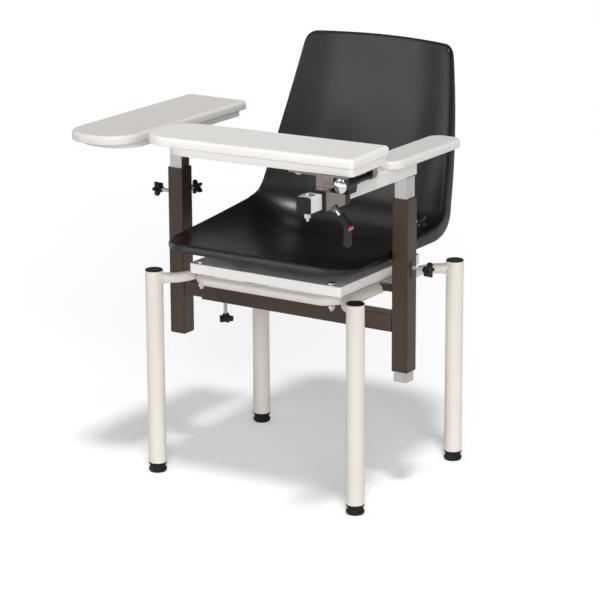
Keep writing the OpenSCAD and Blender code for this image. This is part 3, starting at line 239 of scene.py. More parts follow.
def finish(name, tones, roughness, skin=None, grain=None, marks=None, bump=0.1, **shader):
    """A material: two tones and two roughnesses mixed by the surface's own pattern.

    skin, grain and marks hold the inputs of the three surface groups that it uses."""
    material = bpy.data.materials.new(name)
    tree = empty_tree(material)
    end = tree.nodes.new("ShaderNodeOutputMaterial")
    surface = tree.nodes.new("ShaderNodeBsdfPrincipled")
    for socket, value in shader.items():
        surface.inputs[socket.replace("_", " ")].default_value = value
    heights, masks = [], []
    for group, inputs, high, mask in (
        (paint_skin, skin, "Height", "Cloud"),
        (moulded_grain, grain, "Height", "Valley"),
        (wiped_marks, marks, None, "Streak"),
    ):
        if inputs is None:
            continue
        placed = add(tree, "ShaderNodeGroup", node_tree=group)
        for key, value in inputs.items():
            placed.inputs[key].default_value = value
        if high:
            heights.append(placed.outputs[high])
        masks.append(placed.outputs[mask])
        if group is wiped_marks:
            fine = placed.outputs["Scratch"]
    mask = masks[0]
    for other in masks[1:]:
        mask = sums(tree, "ADD", sums(tree, "MULTIPLY", mask, 0.5),
                    sums(tree, "MULTIPLY", other, 0.5))
    colour = add(tree, "ShaderNodeMix", {"Factor": mask}, data_type="RGBA")
    colour.inputs["A"].default_value = (*tones[0], 1)
    colour.inputs["B"].default_value = (*tones[1], 1)
    rough = ranged(tree, mask, 0.0, 1.0, *roughness)
    if marks is not None:
        rough = sums(tree, "ADD", rough, sums(tree, "MULTIPLY", fine, SCRATCH_ROUGH))
    tree.links.new(colour.outputs["Result"], surface.inputs["Base Color"])
    tree.links.new(rough, surface.inputs["Roughness"])
    if heights:
        high = heights[0]
        for other in heights[1:]:
            high = sums(tree, "ADD", high, other)
        pushed = add(tree, "ShaderNodeBump",
                     {"Height": high, "Strength": bump, "Distance": RELIEF})
        tree.links.new(pushed.outputs["Normal"], surface.inputs["Normal"])
    tree.links.new(surface.outputs["BSDF"], end.inputs["Surface"])
    return material


white_enamel = finish(
    "white enamel", ((0.72, 0.675, 0.612), (0.685, 0.640, 0.580)), (0.30, 0.38),
    skin={"Peel Size": 620.0, "Cloud Size": 5.0}, bump=0.18, Coat_Weight=0.25, Coat_Roughness=0.15)
# Painted light: the pan's white is raised well over the legs' enamel, up to near full white, so
# that the pan renders bright though the seat shades it.
pan_enamel_painted_bright = finish(
    "white pan enamel painted brighter", ((0.97, 0.95, 0.93), (0.94, 0.92, 0.90)), (0.30, 0.38),
    skin={"Peel Size": 620.0, "Cloud Size": 5.0}, bump=0.18, Coat_Weight=0.2, Coat_Roughness=0.2)
bar_enamel = finish(
    "grey-white bar enamel", ((0.74, 0.715, 0.69), (0.70, 0.675, 0.65)), (0.30, 0.40),
    skin={"Peel Size": 620.0, "Cloud Size": 7.0}, bump=0.18, Coat_Weight=0.2, Coat_Roughness=0.2)
board_foil = finish(
    "white board foil", ((0.715, 0.690, 0.655), (0.685, 0.660, 0.628)), (0.42, 0.52),
    skin={"Peel Size": 420.0, "Cloud Size": 8.0},
    marks={"Stretch": (30.0, 9.0, 30.0)}, bump=0.14)
# Painted light: the same foil as the left board's, made lighter to stand for the stronger light on
# the flip-up board; only the way of its wiping marks is its own.
flip_foil_painted_bright = finish(
    "flip board foil painted brighter", ((0.85, 0.825, 0.795), (0.82, 0.795, 0.765)), (0.40, 0.50),
    skin={"Peel Size": 420.0, "Cloud Size": 8.0},
    marks={"Stretch": (9.0, 30.0, 30.0)}, bump=0.14)
armrest_foil = finish(
    "armrest foil", ((0.72, 0.70, 0.68), (0.69, 0.67, 0.65)), (0.44, 0.54),
    skin={"Peel Size": 420.0, "Cloud Size": 9.0},
    marks={"Stretch": (9.0, 30.0, 30.0)}, bump=0.14)
bronze_enamel = finish(
    "bronze enamel", ((0.044, 0.024, 0.014), (0.036, 0.019, 0.011)), (0.28, 0.40),
    skin={"Peel Size": 520.0, "Cloud Size": 9.0},
    marks={"Stretch": (40.0, 40.0, 5.0)}, bump=0.22, Specular_IOR_Level=0.46)
seat_plastic = finish(
    "black seat plastic", ((0.0064, 0.0048, 0.0041), (0.0044, 0.0033, 0.0029)), (0.26, 0.36),
    skin={"Peel Size": 300.0, "Peel Depth": 0.4, "Cloud Size": 7.0},
    grain={"Pebbles": 850.0, "Uneven": 0.4},
    marks={"Stretch": (14.0, 14.0, 9.0)}, bump=0.14, Specular_IOR_Level=0.42)
black_plastic = finish(
    "black moulded plastic", ((0.008, 0.0076, 0.0074), (0.005, 0.0048, 0.0046)), (0.30, 0.42),
    grain={"Pebbles": 1400.0, "Uneven": 0.3}, bump=0.20, Specular_IOR_Level=0.27)
black_rubber = finish(
    "black foot rubber", ((0.007, 0.0066, 0.0063), (0.011, 0.0105, 0.010)), (0.40, 0.55),
    skin={"Peel Size": 900.0, "Cloud Size": 60.0}, bump=0.25, Specular_IOR_Level=0.22)
satin_chrome = finish(
    "satin chrome tube", ((0.58, 0.57, 0.555), (0.50, 0.49, 0.475)), (0.20, 0.32),
    marks={"Stretch": (160.0, 160.0, 4.0), "Fineness": 3.0}, Metallic=1.0)
# Painted reflection: the chrome of the slider and the flip bracket, darkened in colour to stand for
# the black seat shell that it mirrors.
chrome_painted_dark = finish(
    "slider chrome painted dark", ((0.30, 0.27, 0.25), (0.22, 0.195, 0.18)), (0.20, 0.32),
    marks={"Stretch": (50.0, 4.0, 50.0), "Fineness": 3.0}, Metallic=1.0)
bright_chrome = finish(
    "bright chrome fittings", ((0.84, 0.835, 0.83), (0.76, 0.755, 0.75)), (0.10, 0.20),
    marks={"Stretch": (60.0, 60.0, 60.0)}, Metallic=1.0)
bright_zinc = finish(
    "bright zinc fasteners", ((0.72, 0.71, 0.70), (0.60, 0.59, 0.575)), (0.24, 0.40),
    marks={"Stretch": (300.0, 300.0, 300.0)}, Metallic=1.0)
red_plastic = finish(
    "red button plastic", ((0.62, 0.050, 0.030), (0.54, 0.040, 0.025)), (0.25, 0.35),
    skin={"Peel Size": 1500.0, "Cloud Size": 90.0}, bump=0.1, Coat_Weight=0.4)


# Geometry node trees

GEOMETRY, WHOLE, FINISH = "NodeSocketGeometry", "NodeSocketInt", "NodeSocketMaterial"
# Angles in radians over which an edge is crisp: on made pieces, on solids, and never.
MADE_CRISP, SOLID_CRISP, NEVER_CRISP = 0.7, 0.85, 3.2


def start_tree(name, *taken):
    """A geometry tree that works on a mesh, with more named inputs (name, socket, value)."""
    return start_group(name, "GeometryNodeTree", [("Geometry", GEOMETRY, None), *taken],
                       [("Geometry", GEOMETRY)])


def crisped(tree, shape, angle):
    """Smooth faces, with a crisp edge where two of them turn by more than the angle."""
    smooth = add(tree, "GeometryNodeSetShadeSmooth", {"Geometry": shape}, domain="FACE")
    turned = add(tree, "GeometryNodeInputMeshEdgeAngle").outputs[0]
    sharp = add(tree, "FunctionNodeCompare", {"A": turned, "B": angle},
                data_type="FLOAT", operation="GREATER_THAN").outputs[0]
    return add(tree, "GeometryNodeSetShadeSmooth",
               {"Geometry": smooth.outputs[0], "Selection": sharp, "Shade Smooth": False},
               domain="EDGE").outputs[0]


def end_tree(tree, shape, taken, given, angle=MADE_CRISP):
    """Closes a tree: smooth faces with crisp edges, plain geometry and the finish."""
    plain = add(tree, "GeometryNodeRealizeInstances", {"Geometry": crisped(tree, shape, angle)})
    coated = add(tree, "GeometryNodeSetMaterial",
                 {"Geometry": plain.outputs[0], "Material": taken.outputs["Finish"]})
    tree.links.new(coated.outputs[0], given.inputs["Geometry"])
    return tree


def tube_tree():
    """A round bar swept along the line that it is given."""
    tree, taken, given = start_tree(
        "tube along a line",
        ("Radius", FLOAT, 0.01), ("Sides", WHOLE, 40), ("Finish", FINISH, None))
    line = add(tree, "GeometryNodeMeshToCurve", {"Mesh": taken.outputs["Geometry"]})
    ring = add(tree, "GeometryNodeCurvePrimitiveCircle",
               {"Resolution": taken.outputs["Sides"], "Radius": taken.outputs["Radius"]})
    swept = add(tree, "GeometryNodeCurveToMesh",
                {"Curve": line.outputs[0], "Profile Curve": ring.outputs[0], "Fill Caps": True})
    return end_tree(tree, swept.outputs[0], taken, given)


def weld_tree():
    """The ripples of a weld bead, set one after another along a closed line."""
    tree, taken, given = start_tree(
        "weld bead", ("Ripple", FLOAT, 0.0022), ("Spacing", FLOAT, 0.0016), ("Seed", WHOLE, 3),
        ("Finish", FINISH, None))
    line = add(tree, "GeometryNodeMeshToCurve", {"Mesh": taken.outputs["Geometry"]})
    steps = add(tree, "GeometryNodeResampleCurve",
                {"Curve": line.outputs[0], "Length": taken.outputs["Spacing"]}, mode="LENGTH")
    drop = add(tree, "GeometryNodeMeshUVSphere",
               {"Segments": 10, "Rings": 6, "Radius": taken.outputs["Ripple"]})
    along = add(tree, "FunctionNodeAlignRotationToVector",
                {"Vector": add(tree, "GeometryNodeInputTangent").outputs[0]}, axis="Z")
    swell = add(tree, "FunctionNodeRandomValue",
                {2: 0.85, 3: 1.15, "Seed": taken.outputs["Seed"]}, data_type="FLOAT").outputs[1]
    flat = add(tree, "ShaderNodeCombineXYZ", {"X": swell, "Y": swell, "Z": 0.7}).outputs[0]
    beads = add(tree, "GeometryNodeInstanceOnPoints",
                {"Points": steps.outputs[0], "Instance": drop.outputs[0],
                 "Rotation": along.outputs[0], "Scale": flat})
    return end_tree(tree, beads.outputs[0], taken, given, NEVER_CRISP)


def thread_tree():
    """A screw standing on its start point: a core with a rolled ridge wound round it."""
    tree, taken, given = start_tree(
        "threaded screw", ("Diameter", FLOAT, 0.008), ("Length", FLOAT, 0.03),
        ("Pitch", FLOAT, 0.00125), ("Finish", FINISH, None))
    depth = sums(tree, "MULTIPLY", taken.outputs["Pitch"], 0.5)
    core = sums(tree, "SUBTRACT", sums(tree, "MULTIPLY", taken.outputs["Diameter"], 0.5), depth)
    usable = sums(tree, "SUBTRACT", taken.outputs["Length"], sums(
        tree, "MULTIPLY", taken.outputs["Pitch"], 2.0))
    turns = sums(tree, "DIVIDE", usable, taken.outputs["Pitch"])
    coil = add(tree, "GeometryNodeCurveSpiral",
               {"Resolution": 24, "Rotations": turns, "Start Radius": core, "End Radius": core,
                "Height": usable})
    raised = add(tree, "GeometryNodeTransform", {"Geometry": coil.outputs[0], "Translation": add(
        tree, "ShaderNodeCombineXYZ", {"Z": taken.outputs["Pitch"]}).outputs[0]})
    ridge = add(tree, "GeometryNodeCurvePrimitiveCircle", {"Resolution": 6, "Radius": depth})
    wound = add(tree, "GeometryNodeCurveToMesh",
                {"Curve": raised.outputs[0], "Profile Curve": ridge.outputs[0], "Fill Caps": True})
    radius = sums(tree, "ADD", core, sums(tree, "MULTIPLY", depth, 0.25))
    bar = add(tree, "GeometryNodeMeshCylinder",
              {"Vertices": 28, "Radius": radius, "Depth": taken.outputs["Length"]})
    stood = add(tree, "GeometryNodeTransform", {"Geometry": bar.outputs[0], "Translation": add(
        tree, "ShaderNodeCombineXYZ",
        {"Z": sums(tree, "MULTIPLY", taken.outputs["Length"], 0.5)}).outputs[0]})
    both = add(tree, "GeometryNodeJoinGeometry")
    tree.links.new(wound.outputs[0], both.inputs[0])
    tree.links.new(stood.outputs[0], both.inputs[0])
    return end_tree(tree, both.outputs[0], taken, given)


def crisp_tree():
    """Smooth faces with crisp edges on a solid that keeps its own finish."""
    tree, taken, given = start_tree("crisp edges", ("Angle", FLOAT, MADE_CRISP))
    tree.links.new(crisped(tree, taken.outputs["Geometry"], taken.outputs["Angle"]),
                   given.inputs["Geometry"])
    return tree


tube_along_line = tube_tree()
weld_bead = weld_tree()
threaded_screw = thread_tree()
crisp_edges = crisp_tree()


def made_by(tree, name, base, material, **values):
    """Runs a tree on a base mesh and returns the result as a plain mesh object."""
    carrier = new_object(name + "_base", base)
    modifier = carrier.modifiers.new("form", "NODES")
    modifier.node_group = tree
    for item in tree.interface.items_tree:
        if item.in_out != "INPUT" or item.name == "Geometry":
            continue
        if item.name == "Finish":
            modifier[item.identifier] = material
        elif item.name in values:
            modifier[item.identifier] = values[item.name]
    seen = carrier.evaluated_get(bpy.context.evaluated_depsgraph_get())
    mesh = bpy.data.meshes.new_from_object(seen)
    mesh.name = name
    made = new_object(name, mesh)
    bpy.data.objects.remove(carrier)
    return made


def line_mesh(name, points, closed=False):
    """A line of points that a tree works on."""
    mesh = bpy.data.meshes.new(name)
    edges = [(i, i + 1) for i in range(len(points) - 1)]
    if closed:
        edges.append((len(points) - 1, 0))
    mesh.from_pydata([tuple(p) for p in points], edges, [])
    return mesh


def solid(name, points, faces, material):
    """A closed mesh object with smooth faces."""
    mesh = bpy.data.meshes.new(name)
    mesh.from_pydata([tuple(p) for p in points], [], faces)
    mesh.polygons.foreach_set("use_smooth", [True] * len(mesh.polygons))
    mesh.materials.append(material)
    mesh.validate()
    return new_object(name, mesh)


def stacked(name, rings, material):
    """A closed solid over equal rings of points, from the lowest ring to the highest."""
    count = len(rings[0])
    faces = []
    for k in range(len(rings) - 1):
        for m in range(count):
            n = (m + 1) % count
            a, b = k * count, (k + 1) * count
            faces.append((a + m, a + n, b + n, b + m))
    points = [p for ring in rings for p in ring]
    faces.append(tuple(range(count - 1, -1, -1)))
    faces.append(tuple(range(len(points) - count, len(points))))
    return solid(name, points, faces, material)


def settle(piece, body, material, *stands_for):
    """Puts a finished piece on its body and hides the solids that it stands for."""
    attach(piece, body)
    if stands_for:
        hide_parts(*stands_for)
    return piece


# Solids that stay

# Points nearer than JOIN metres are one; faces within FLAT degrees are one flat face;
# edges over BROKEN degrees are broken.
JOIN, FLAT, BROKEN = 0.00001, 0.4, 42


def dress(node, material, edge):
    """Gives a CAD solid its finish, a fine broken edge and smooth round faces."""
    piece = nodes[node]
    if len(piece.data.materials):
        for i in range(len(piece.data.materials)):
            piece.data.materials[i] = material
    else:
        piece.data.materials.append(material)
    weld = piece.modifiers.new("join", "WELD")
    weld.merge_threshold = JOIN
    flat = piece.modifiers.new("flat faces", "DECIMATE")
    flat.decimate_type = "DISSOLVE"
    flat.angle_limit = math.radians(FLAT)
    broken = piece.modifiers.new("broken edge", "BEVEL")
    broken.limit_method = "ANGLE"
    broken.angle_limit = math.radians(BROKEN)
    broken.width = edge
    broken.segments = 2
    broken.use_clamp_overlap = True
    broken.miter_outer = "MITER_ARC"
    crisp = piece.modifiers.new("crisp edges", "NODES")
    crisp.node_group = crisp_edges
    angle = next(i for i in crisp_edges.interface.items_tree if i.name == "Angle")
    crisp[angle.identifier] = SOLID_CRISP
    even = piece.modifiers.new("even normals", "WEIGHTED_NORMAL")
    even.keep_sharp = True


STAYS = {
    white_enamel: [
        "front_left_leg", "front_right_leg", "rear_left_leg", "rear_right_leg"],
    pan_enamel_painted_bright: ["seat_pan"],
    bar_enamel: ["arm_bar"],
    bronze_enamel: [
        "right_post", "left_post", "crossbar_sleeve", "inner_crossbar", "left_hanger",
        "right_hanger", "post_bracket"],
    black_plastic: [
        "leg_caps", "bar_front_plug", "bar_rear_plug", "front_bushing", "hinge_ear",
        "torsion_sleeve", "hinge_barrel", "clamp_lever", "shell_spacers"],
    black_rubber: ["leg_feet"],
    satin_chrome: ["left_column", "right_column", "left_column_plate"],
    chrome_painted_dark: ["slider_sleeve", "flip_bracket"],
    bright_chrome: ["hinge_pin", "clamp_screw"],
    bright_zinc: [
        "pan_bolts", "pan_nuts", "shell_bolts", "hanger_bolts", "left_plate_screws", "stop_bolt",
        "stop_nut", "armrest_screws", "bracket_screws"],
    red_plastic: ["release_button"],
}
# Width of the broken edges in metres: the usual one, and the pieces that differ.
EDGE = 0.0004
EDGES = {"seat_pan": 0.0012, "leg_caps": 0.0008, "clamp_lever": 0.0014, "slider_sleeve": 0.0007}


# Round rails

# Axes and radii in millimetres from the middle of the leg frame: rails, legs, seat ring.
RAIL_Z, RAIL_R = 430.0, 11.0
RAIL_X, RAIL_BEND_Y, RAIL_BEND_R, RAIL_FLARE = 196.3, 133.165, 60.0, math.radians(55)
LEG_X, LEG_Y, LEG_R = 250.0, 202.0, 19.0
RING_X, RING_Y, RING_R, RING_TAIL = 174.0, 164.0, 40.0, 122.0
# Steps round a side rail's bend, a bend of the seat ring and a weld.
BEND_STEPS, RING_STEPS, WELD_STEPS = 12, 16, 48
# How far a rail's end is sunk in its leg, and its weld's line stands off rail and leg.
RAIL_SUNK, OFF_RAIL, OFF_LEG = 1.2, 0.6, 0.5


def rail_bend(a):
    """Point of a right side rail's axis at an angle of its rear bend."""
    return RAIL_X + RAIL_BEND_R * (1 - math.cos(a)), RAIL_BEND_Y + RAIL_BEND_R * math.sin(a)


def side_rail_line(side):
    """Axis of a side rail: out of one leg, round a bend, along the seat and back."""
    half = [rail_bend(RAIL_FLARE * i / BEND_STEPS) for i in range(BEND_STEPS + 1)]
    way = Vector((LEG_X - half[-1][0], LEG_Y - half[-1][1]))
    end = Vector((LEG_X, LEG_Y)) - way.normalized() * (LEG_R - RAIL_SUNK)
    half.append((end.x, end.y))
    both = [(x, -y) for x, y in reversed(half)] + half
    return [at(side * x, y, RAIL_Z) for x, y in both]


def seat_ring_line(side):
    """Axis of one half of the seat ring: tail, bend, cross run, bend, tail."""
    half = [(RING_X, RING_Y - RING_R - RING_TAIL)]
    for i in range(RING_STEPS + 1):
        a = math.pi / 2 * i / RING_STEPS
        half.append((RING_X - RING_R * (1 - math.cos(a)), RING_Y - RING_R * (1 - math.sin(a))))
    both = half + [(-x, y) for x, y in reversed(half)]
    return [at(x, side * y, RAIL_Z) for x, y in both]


def leg_weld_line(sx, sy):
    """Saddle line on which a side rail meets its leg."""
    inward = (Vector(rail_bend(RAIL_FLARE)) - Vector((LEG_X, LEG_Y))).normalized()
    across = Vector((-inward.y, inward.x))
    points = []
    for i in range(WELD_STEPS):
        a = 2 * math.pi * i / WELD_STEPS
        off = (RAIL_R + OFF_RAIL) * math.cos(a)
        reach = math.sqrt(LEG_R ** 2 - off ** 2) + OFF_LEG
        p = Vector((LEG_X, LEG_Y)) + across * off + inward * reach
        points.append(at(sx * p.x, sy * p.y, RAIL_Z + (RAIL_R + OFF_RAIL) * math.sin(a)))
    return points


def make_rails():
    """The side rails, the seat ring's halves and the beads that weld rails to legs."""
    for name, points in (
        ("left_side_rail", side_rail_line(-1)), ("right_side_rail", side_rail_line(1)),
        ("front_seat_ring", seat_ring_line(-1)), ("rear_seat_ring", seat_ring_line(1)),
    ):
        tube = made_by(tube_along_line, name + "_tube", line_mesh(name, points), white_enamel,
                       Radius=RAIL_R * MM, Sides=48)
        settle(tube, "base", white_enamel, name)
    for sx in (-1, 1):
        for sy in (-1, 1):
            name = "%s_%s_weld" % ("front" if sy < 0 else "rear", "left" if sx < 0 else "right")
            bead = made_by(weld_bead, name, line_mesh(name, leg_weld_line(sx, sy), True),
                           white_enamel, Ripple=0.0019, Spacing=0.0017, Seed=5 + sx + 2 * sy)
            settle(bead, "base", white_enamel)


# Seat shell

# Sizes in millimetres, the back's lean in degrees, and shares and powers of the curves.
SHELL = dict(
    width=472.0, top_width=350.0, front_taper=5.0, depth=431.0, front=209.0, front_z=517.0,
    corner_z=471.0, back=428.0, lean=13.0, bend_r=100.0, wall=4.6, rise_rear=60.0,
    rise_top=27.0, lip=19.0, lip_side=11.0, lip_rear=34.0, lip_top=15.0, roll=7.0,
    front_r=70.0, top_r=14.0, crown=8.0, flat_share=0.42, taper_power=1.45, rise_power=1.1,
    rise_from=0.12, rise_to=1.05, lip_share=0.2,
)
# Columns of the shell's sheet, from its middle (0) to its side (1).
SHELL_COLUMNS = [0, .11, .22, .32, .41, .49, .56, .63, .69, .75, .80, .85, .89, .93, .965, 1]
# Rows along the front corner, the seat, the bend, the back and the top corner.
FRONT_ROWS, SEAT_ROWS, BEND_ROWS, BACK_ROWS, TOP_ROWS = 4, 14, 14, 15, 3
# Outward and downward shares of the lip's roll, ring by ring.
LIP_ROLL = ((.26, .006), (.5, .03), (.72, .10), (.88, .22), (.97, .38), (1, .56), (1, .78), (1, 1))


def spaced(start, reach, count):
    """Evenly spaced values from the start, with the last one left to what follows."""
    return [start + reach * i / count for i in range(count)]


class SeatShell:
    """The bucket: a side profile of seat, bend and back, lofted across with raised sides
    and a lip rolled outward all round. Distances are millimetres in the leg frame."""

    def __init__(self, **sizes):
        self.__dict__.update(sizes)
        self.slope = math.atan((self.front_z - self.corner_z) / self.depth)
        self.turn = math.radians(90 - self.lean) + self.slope
        tangent = self.bend_r * math.tan(self.turn / 2)
        self.seat = self.depth / math.cos(self.slope) - tangent
        self.bend = self.bend_r * self.turn
        self.length = self.seat + self.bend + self.back - tangent
        # The top edge is crowned, so the sides end lower than its middle.
        self.side_end = self.length - self.crown
        self.front_arc, self.top_arc = self.front_r * math.pi / 4, self.top_r * math.pi / 4
        self.edge_length = (self.front_arc + self.side_end - self.front_r - self.top_r
                            + self.top_arc)
        self.bend_from = Vector((-self.front + self.seat * math.cos(self.slope),
                                 self.front_z - self.seat * math.sin(self.slope)))
        self.bend_mid = self.bend_from + self.bend_r * Vector(
            (math.sin(self.slope), math.cos(self.slope)))

    def heading(self, s):
        """Slope of the profile, in radians, at a distance along it from the front edge."""
        turned = 0 if s < self.seat else min(self.turn, (s - self.seat) / self.bend * self.turn)
        return turned - self.slope

    def profile(self, s):
        """Point of the middle line, as (y, z)."""
        if s <= self.seat:
            return Vector((-self.front + s * math.cos(self.slope),
                           self.front_z - s * math.sin(self.slope)))
        if s <= self.seat + self.bend:
            a = self.heading(s)
            return self.bend_mid + self.bend_r * Vector((math.sin(a), -math.cos(a)))
        a = math.pi / 2 - math.radians(self.lean)
        end = self.bend_mid + self.bend_r * Vector((math.sin(a), -math.cos(a)))
        more = s - self.seat - self.bend
        return end + more * Vector((math.cos(a), math.sin(a)))

    @staticmethod
    def ramp(s, a, b):
        """Share of the way from a to b, kept between 0 and 1."""
        return max(0.0, min(1.0, (s - a) / (b - a)))

    def half_width(self, s):
        narrow = self.ramp(s, self.seat, self.length) ** self.taper_power
        ahead = self.front_taper * (1 - self.ramp(s, 0, self.seat))
        return (self.width - (self.width - self.top_width) * narrow) / 2 - ahead

    def rise(self, s):
        """How far the sides stand over the middle line."""
        if s < self.seat + self.bend:
            share = self.ramp(s, self.seat * self.rise_from, self.seat * self.rise_to)
            return self.rise_rear * share ** self.rise_power
        share = 1 - self.ramp(s, self.seat + self.bend, self.length)
        return self.rise_top + (self.rise_rear - self.rise_top) * share ** 2

    def side_lip(self, s):
        if s < self.seat:
            share = self.ramp(s, self.seat * self.lip_share, self.seat)
            return self.lip_side + (self.lip_rear - self.lip_side) * share
        share = self.ramp(s, self.seat + self.bend, self.length)
        return self.lip_rear + (self.lip_top - self.lip_rear) * share

    def along(self, s):
        a = self.heading(s)
        return Vector((0, math.cos(a), math.sin(a)))

    def upward(self, s):
        a = self.heading(s)
        return Vector((0, -math.sin(a), math.cos(a)))

    def point(self, s, x):
        """Point of the upper face at a distance along the profile and one across."""
        share = self.ramp(abs(x) / self.half_width(s), self.flat_share, 1) ** 2
        p = self.profile(s)
        return Vector((x, p.x, p.y)) + self.rise(s) * share * self.upward(s)

    def crowned(self, s, x, way):
        """Lowers the top edge (way 1) towards its ends and leaves the front as it is."""
        return s - self.crown * (x / self.half_width(self.length)) ** 2 if way > 0 else s

    def corner(self, r, end, way, phi):
        """Point of a rounded corner, from the end edge (phi 0) to the side (a quarter turn).

        Edge points are (s, x, share along s of the way out, share along x of it)."""
        s = end - way * r * (1 - math.cos(phi))
        x = self.half_width(s) - r * (1 - math.sin(phi))
        return (self.crowned(s, x, way), x, way * math.cos(phi), math.sin(phi))

    def end_edge(self, t, r, end, way):
        """Front (way -1) or top edge, from its middle (t 0) to the corner (t 1)."""
        flat = self.half_width(end) - r
        d = abs(t) * (flat + r * math.pi / 4)
        e = (self.crowned(end, d, way), d, way, 0.0)
        if d > flat:
            e = self.corner(r, end, way, (d - flat) / r)
        side = -1 if t < 0 else 1
        return (e[0], side * e[1], e[2], side * e[3])

    def side_edge(self, d):
        """Point of the right edge, from the middle of the front corner to the top one's."""
        straight = self.side_end - self.front_r - self.top_r
        if d < self.front_arc:
            return self.corner(self.front_r, 0, -1, math.pi / 4 + d / self.front_r)
        if d <= self.front_arc + straight:
            s = self.front_r + d - self.front_arc
            return (s, self.half_width(s), 0.0, 1.0)
        past = d - self.front_arc - straight
        return self.corner(self.top_r, self.length, 1, math.pi / 2 - past / self.top_r)

    def rows(self):
        """Distances of the sheet's rows along the side edge."""
        back = self.side_end - self.seat - self.bend - self.top_r
        top = self.edge_length - self.top_arc
        return (spaced(0, self.front_arc, FRONT_ROWS)
                + spaced(self.front_arc, self.seat - self.front_r, SEAT_ROWS)
                + spaced(self.front_arc + self.seat - self.front_r, self.bend, BEND_ROWS)
                + spaced(top - back, back, BACK_ROWS)
                + [top + self.top_arc * i / TOP_ROWS for i in range(TOP_ROWS + 1)])

    def sheet(self, rows, across):
        """Places (s, x) of the sheet's points, blended between its four edges."""
        front_corner, top_corner = self.side_edge(0), self.side_edge(self.edge_length)
        places = []
        for d in rows:
            u, side = d / self.edge_length, self.side_edge(d)
            for t in across:
                low = self.end_edge(t, self.front_r, 0, -1)
                high = self.end_edge(t, self.top_r, self.length, 1)
                places.append((
                    (1 - u) * low[0] + u * high[0] + side[0]
                    - (1 - u) * front_corner[0] - u * top_corner[0],
                    (1 - u) * low[1] + u * high[1]
                    + t * (side[1] - (1 - u) * front_corner[1] - u * top_corner[1]),
                ))
        return places

    def rim(self, rows, across):
        """Numbers of the sheet's outer points in their order round it, and edge points."""
        last, cols = len(rows) - 1, len(across)
        turns = [(0, j) for j in range(cols)] + [(i, cols - 1) for i in range(1, last + 1)]
        turns += [(last, j) for j in range(cols - 2, -1, -1)]
        turns += [(i, 0) for i in range(last - 1, 0, -1)]
        edges = []
        for i, j in turns:
            if i == 0:
                edges.append(self.end_edge(across[j], self.front_r, 0, -1))
            elif i == last:
                edges.append(self.end_edge(across[j], self.top_r, self.length, 1))
            else:
                s, x, es, ex = self.side_edge(rows[i])
                way = -1 if j == 0 else 1
                edges.append((s, way * x, es, way * ex))
        return [i * cols + j for i, j in turns], edges

    def skin(self):
        """Points and faces of the upper skin with its lip, as one open sheet of quads."""
        rows, across = self.rows(), [-t for t in reversed(SHELL_COLUMNS[1:])] + SHELL_COLUMNS
        cols = len(across)
        points = [self.point(s, x) for s, x in self.sheet(rows, across)]
        faces = [(i * cols + j, i * cols + j + 1, (i + 1) * cols + j + 1, (i + 1) * cols + j)
                 for i in range(len(rows) - 1) for j in range(cols - 1)]
        before, edges = self.rim(rows, across)
        for out, down in LIP_ROLL:
            ring = []
            for s, x, es, ex in edges:
                lip = self.lip if es < 0 else self.lip_top
                depth = es * es * lip + ex * ex * self.side_lip(s)
                outward = es * self.along(s) + Vector((ex, 0, 0))
                points.append(self.point(s, x) + out * self.roll * outward
                              - down * depth * self.upward(s))
                ring.append(len(points) - 1)
            n = len(ring)
            faces += [(before[m], ring[m], ring[(m + 1) % n], before[(m + 1) % n])
                      for m in range(n)]
            before = ring
        return [at(*p) for p in points], faces


def make_seat_shell():
    """The moulded shell: its upper skin, thickened downward and rounded once."""
    shell = SeatShell(**SHELL)
    points, faces = shell.skin()
    piece = solid("seat_shell_moulding", points, faces, seat_plastic)
    wall = piece.modifiers.new("wall", "SOLIDIFY")
    wall.thickness = shell.wall * MM
    wall.offset = -1
    wall.use_even_offset = True
    rounder = piece.modifiers.new("rounder", "SUBSURF")
    rounder.levels = rounder.render_levels = 1
    settle(piece, "base", seat_plastic, "seat_shell")


# Arm boards

def board_ring(length, width, round_r, square_r, inset, z, steps=14):
    """One level of a board's outline: square end at x = 0, rounded end at x = length."""
    centres = (
        (length - round_r, width / 2 - round_r, round_r, 0),
        (square_r, width / 2 - square_r, square_r, 90),
        (square_r, -width / 2 + square_r, square_r, 180),
        (length - round_r, -width / 2 + round_r, round_r, 270),
    )
    ring = []
    for x, y, r, start in centres:
        for i in range(steps + 1):
            a = math.radians(start + 90 * i / steps)
            ring.append((x + (r - inset) * math.cos(a), y + (r - inset) * math.sin(a), z))
    return ring


# Radius of a slab's lower edge as a share of the upper one's, distances of the rings on
# its flat faces from the rounds, and the least radius left to a ring's square corners.
UNDER_SHARE, NEAR_RING, FAR_RING, LEAST_R = 0.3, 3, 9, 0.5


def board_slab(name, length, width, thick, round_r, square_r, edge, material, place):
    """A foil-wrapped slab with a quarter-round upper edge and a small round under it."""
    low = edge * UNDER_SHARE
    levels = [(low + FAR_RING, 0), (low + NEAR_RING, 0)]
    for degrees in (0, 22.5, 45, 67.5, 90):
        a = math.radians(degrees)
        levels.append((low - low * math.sin(a), low - low * math.cos(a)))
    for degrees in (0, 15, 30, 45, 60, 75, 90):
        a = math.radians(degrees)
        levels.append((edge * (1 - math.cos(a)), thick - edge * (1 - math.sin(a))))
    levels += [(edge + NEAR_RING, thick), (edge + FAR_RING, thick)]
    rings = []
    for inset, z in levels:
        ring = board_ring(length, width, round_r, square_r, min(inset, square_r - LEAST_R), z)
        rings.append([place @ Vector(p) for p in ring])
    return stacked(name, rings, material)


def board_place(x, y, z, turn):
    """Places a slab drawn in millimetres with its square end at the origin."""
    return (Matrix.Scale(MM, 4) @ Matrix.Translation(Vector((x, y, z)) - MIDDLE)
            @ Matrix.Rotation(math.radians(turn), 4, "Z"))


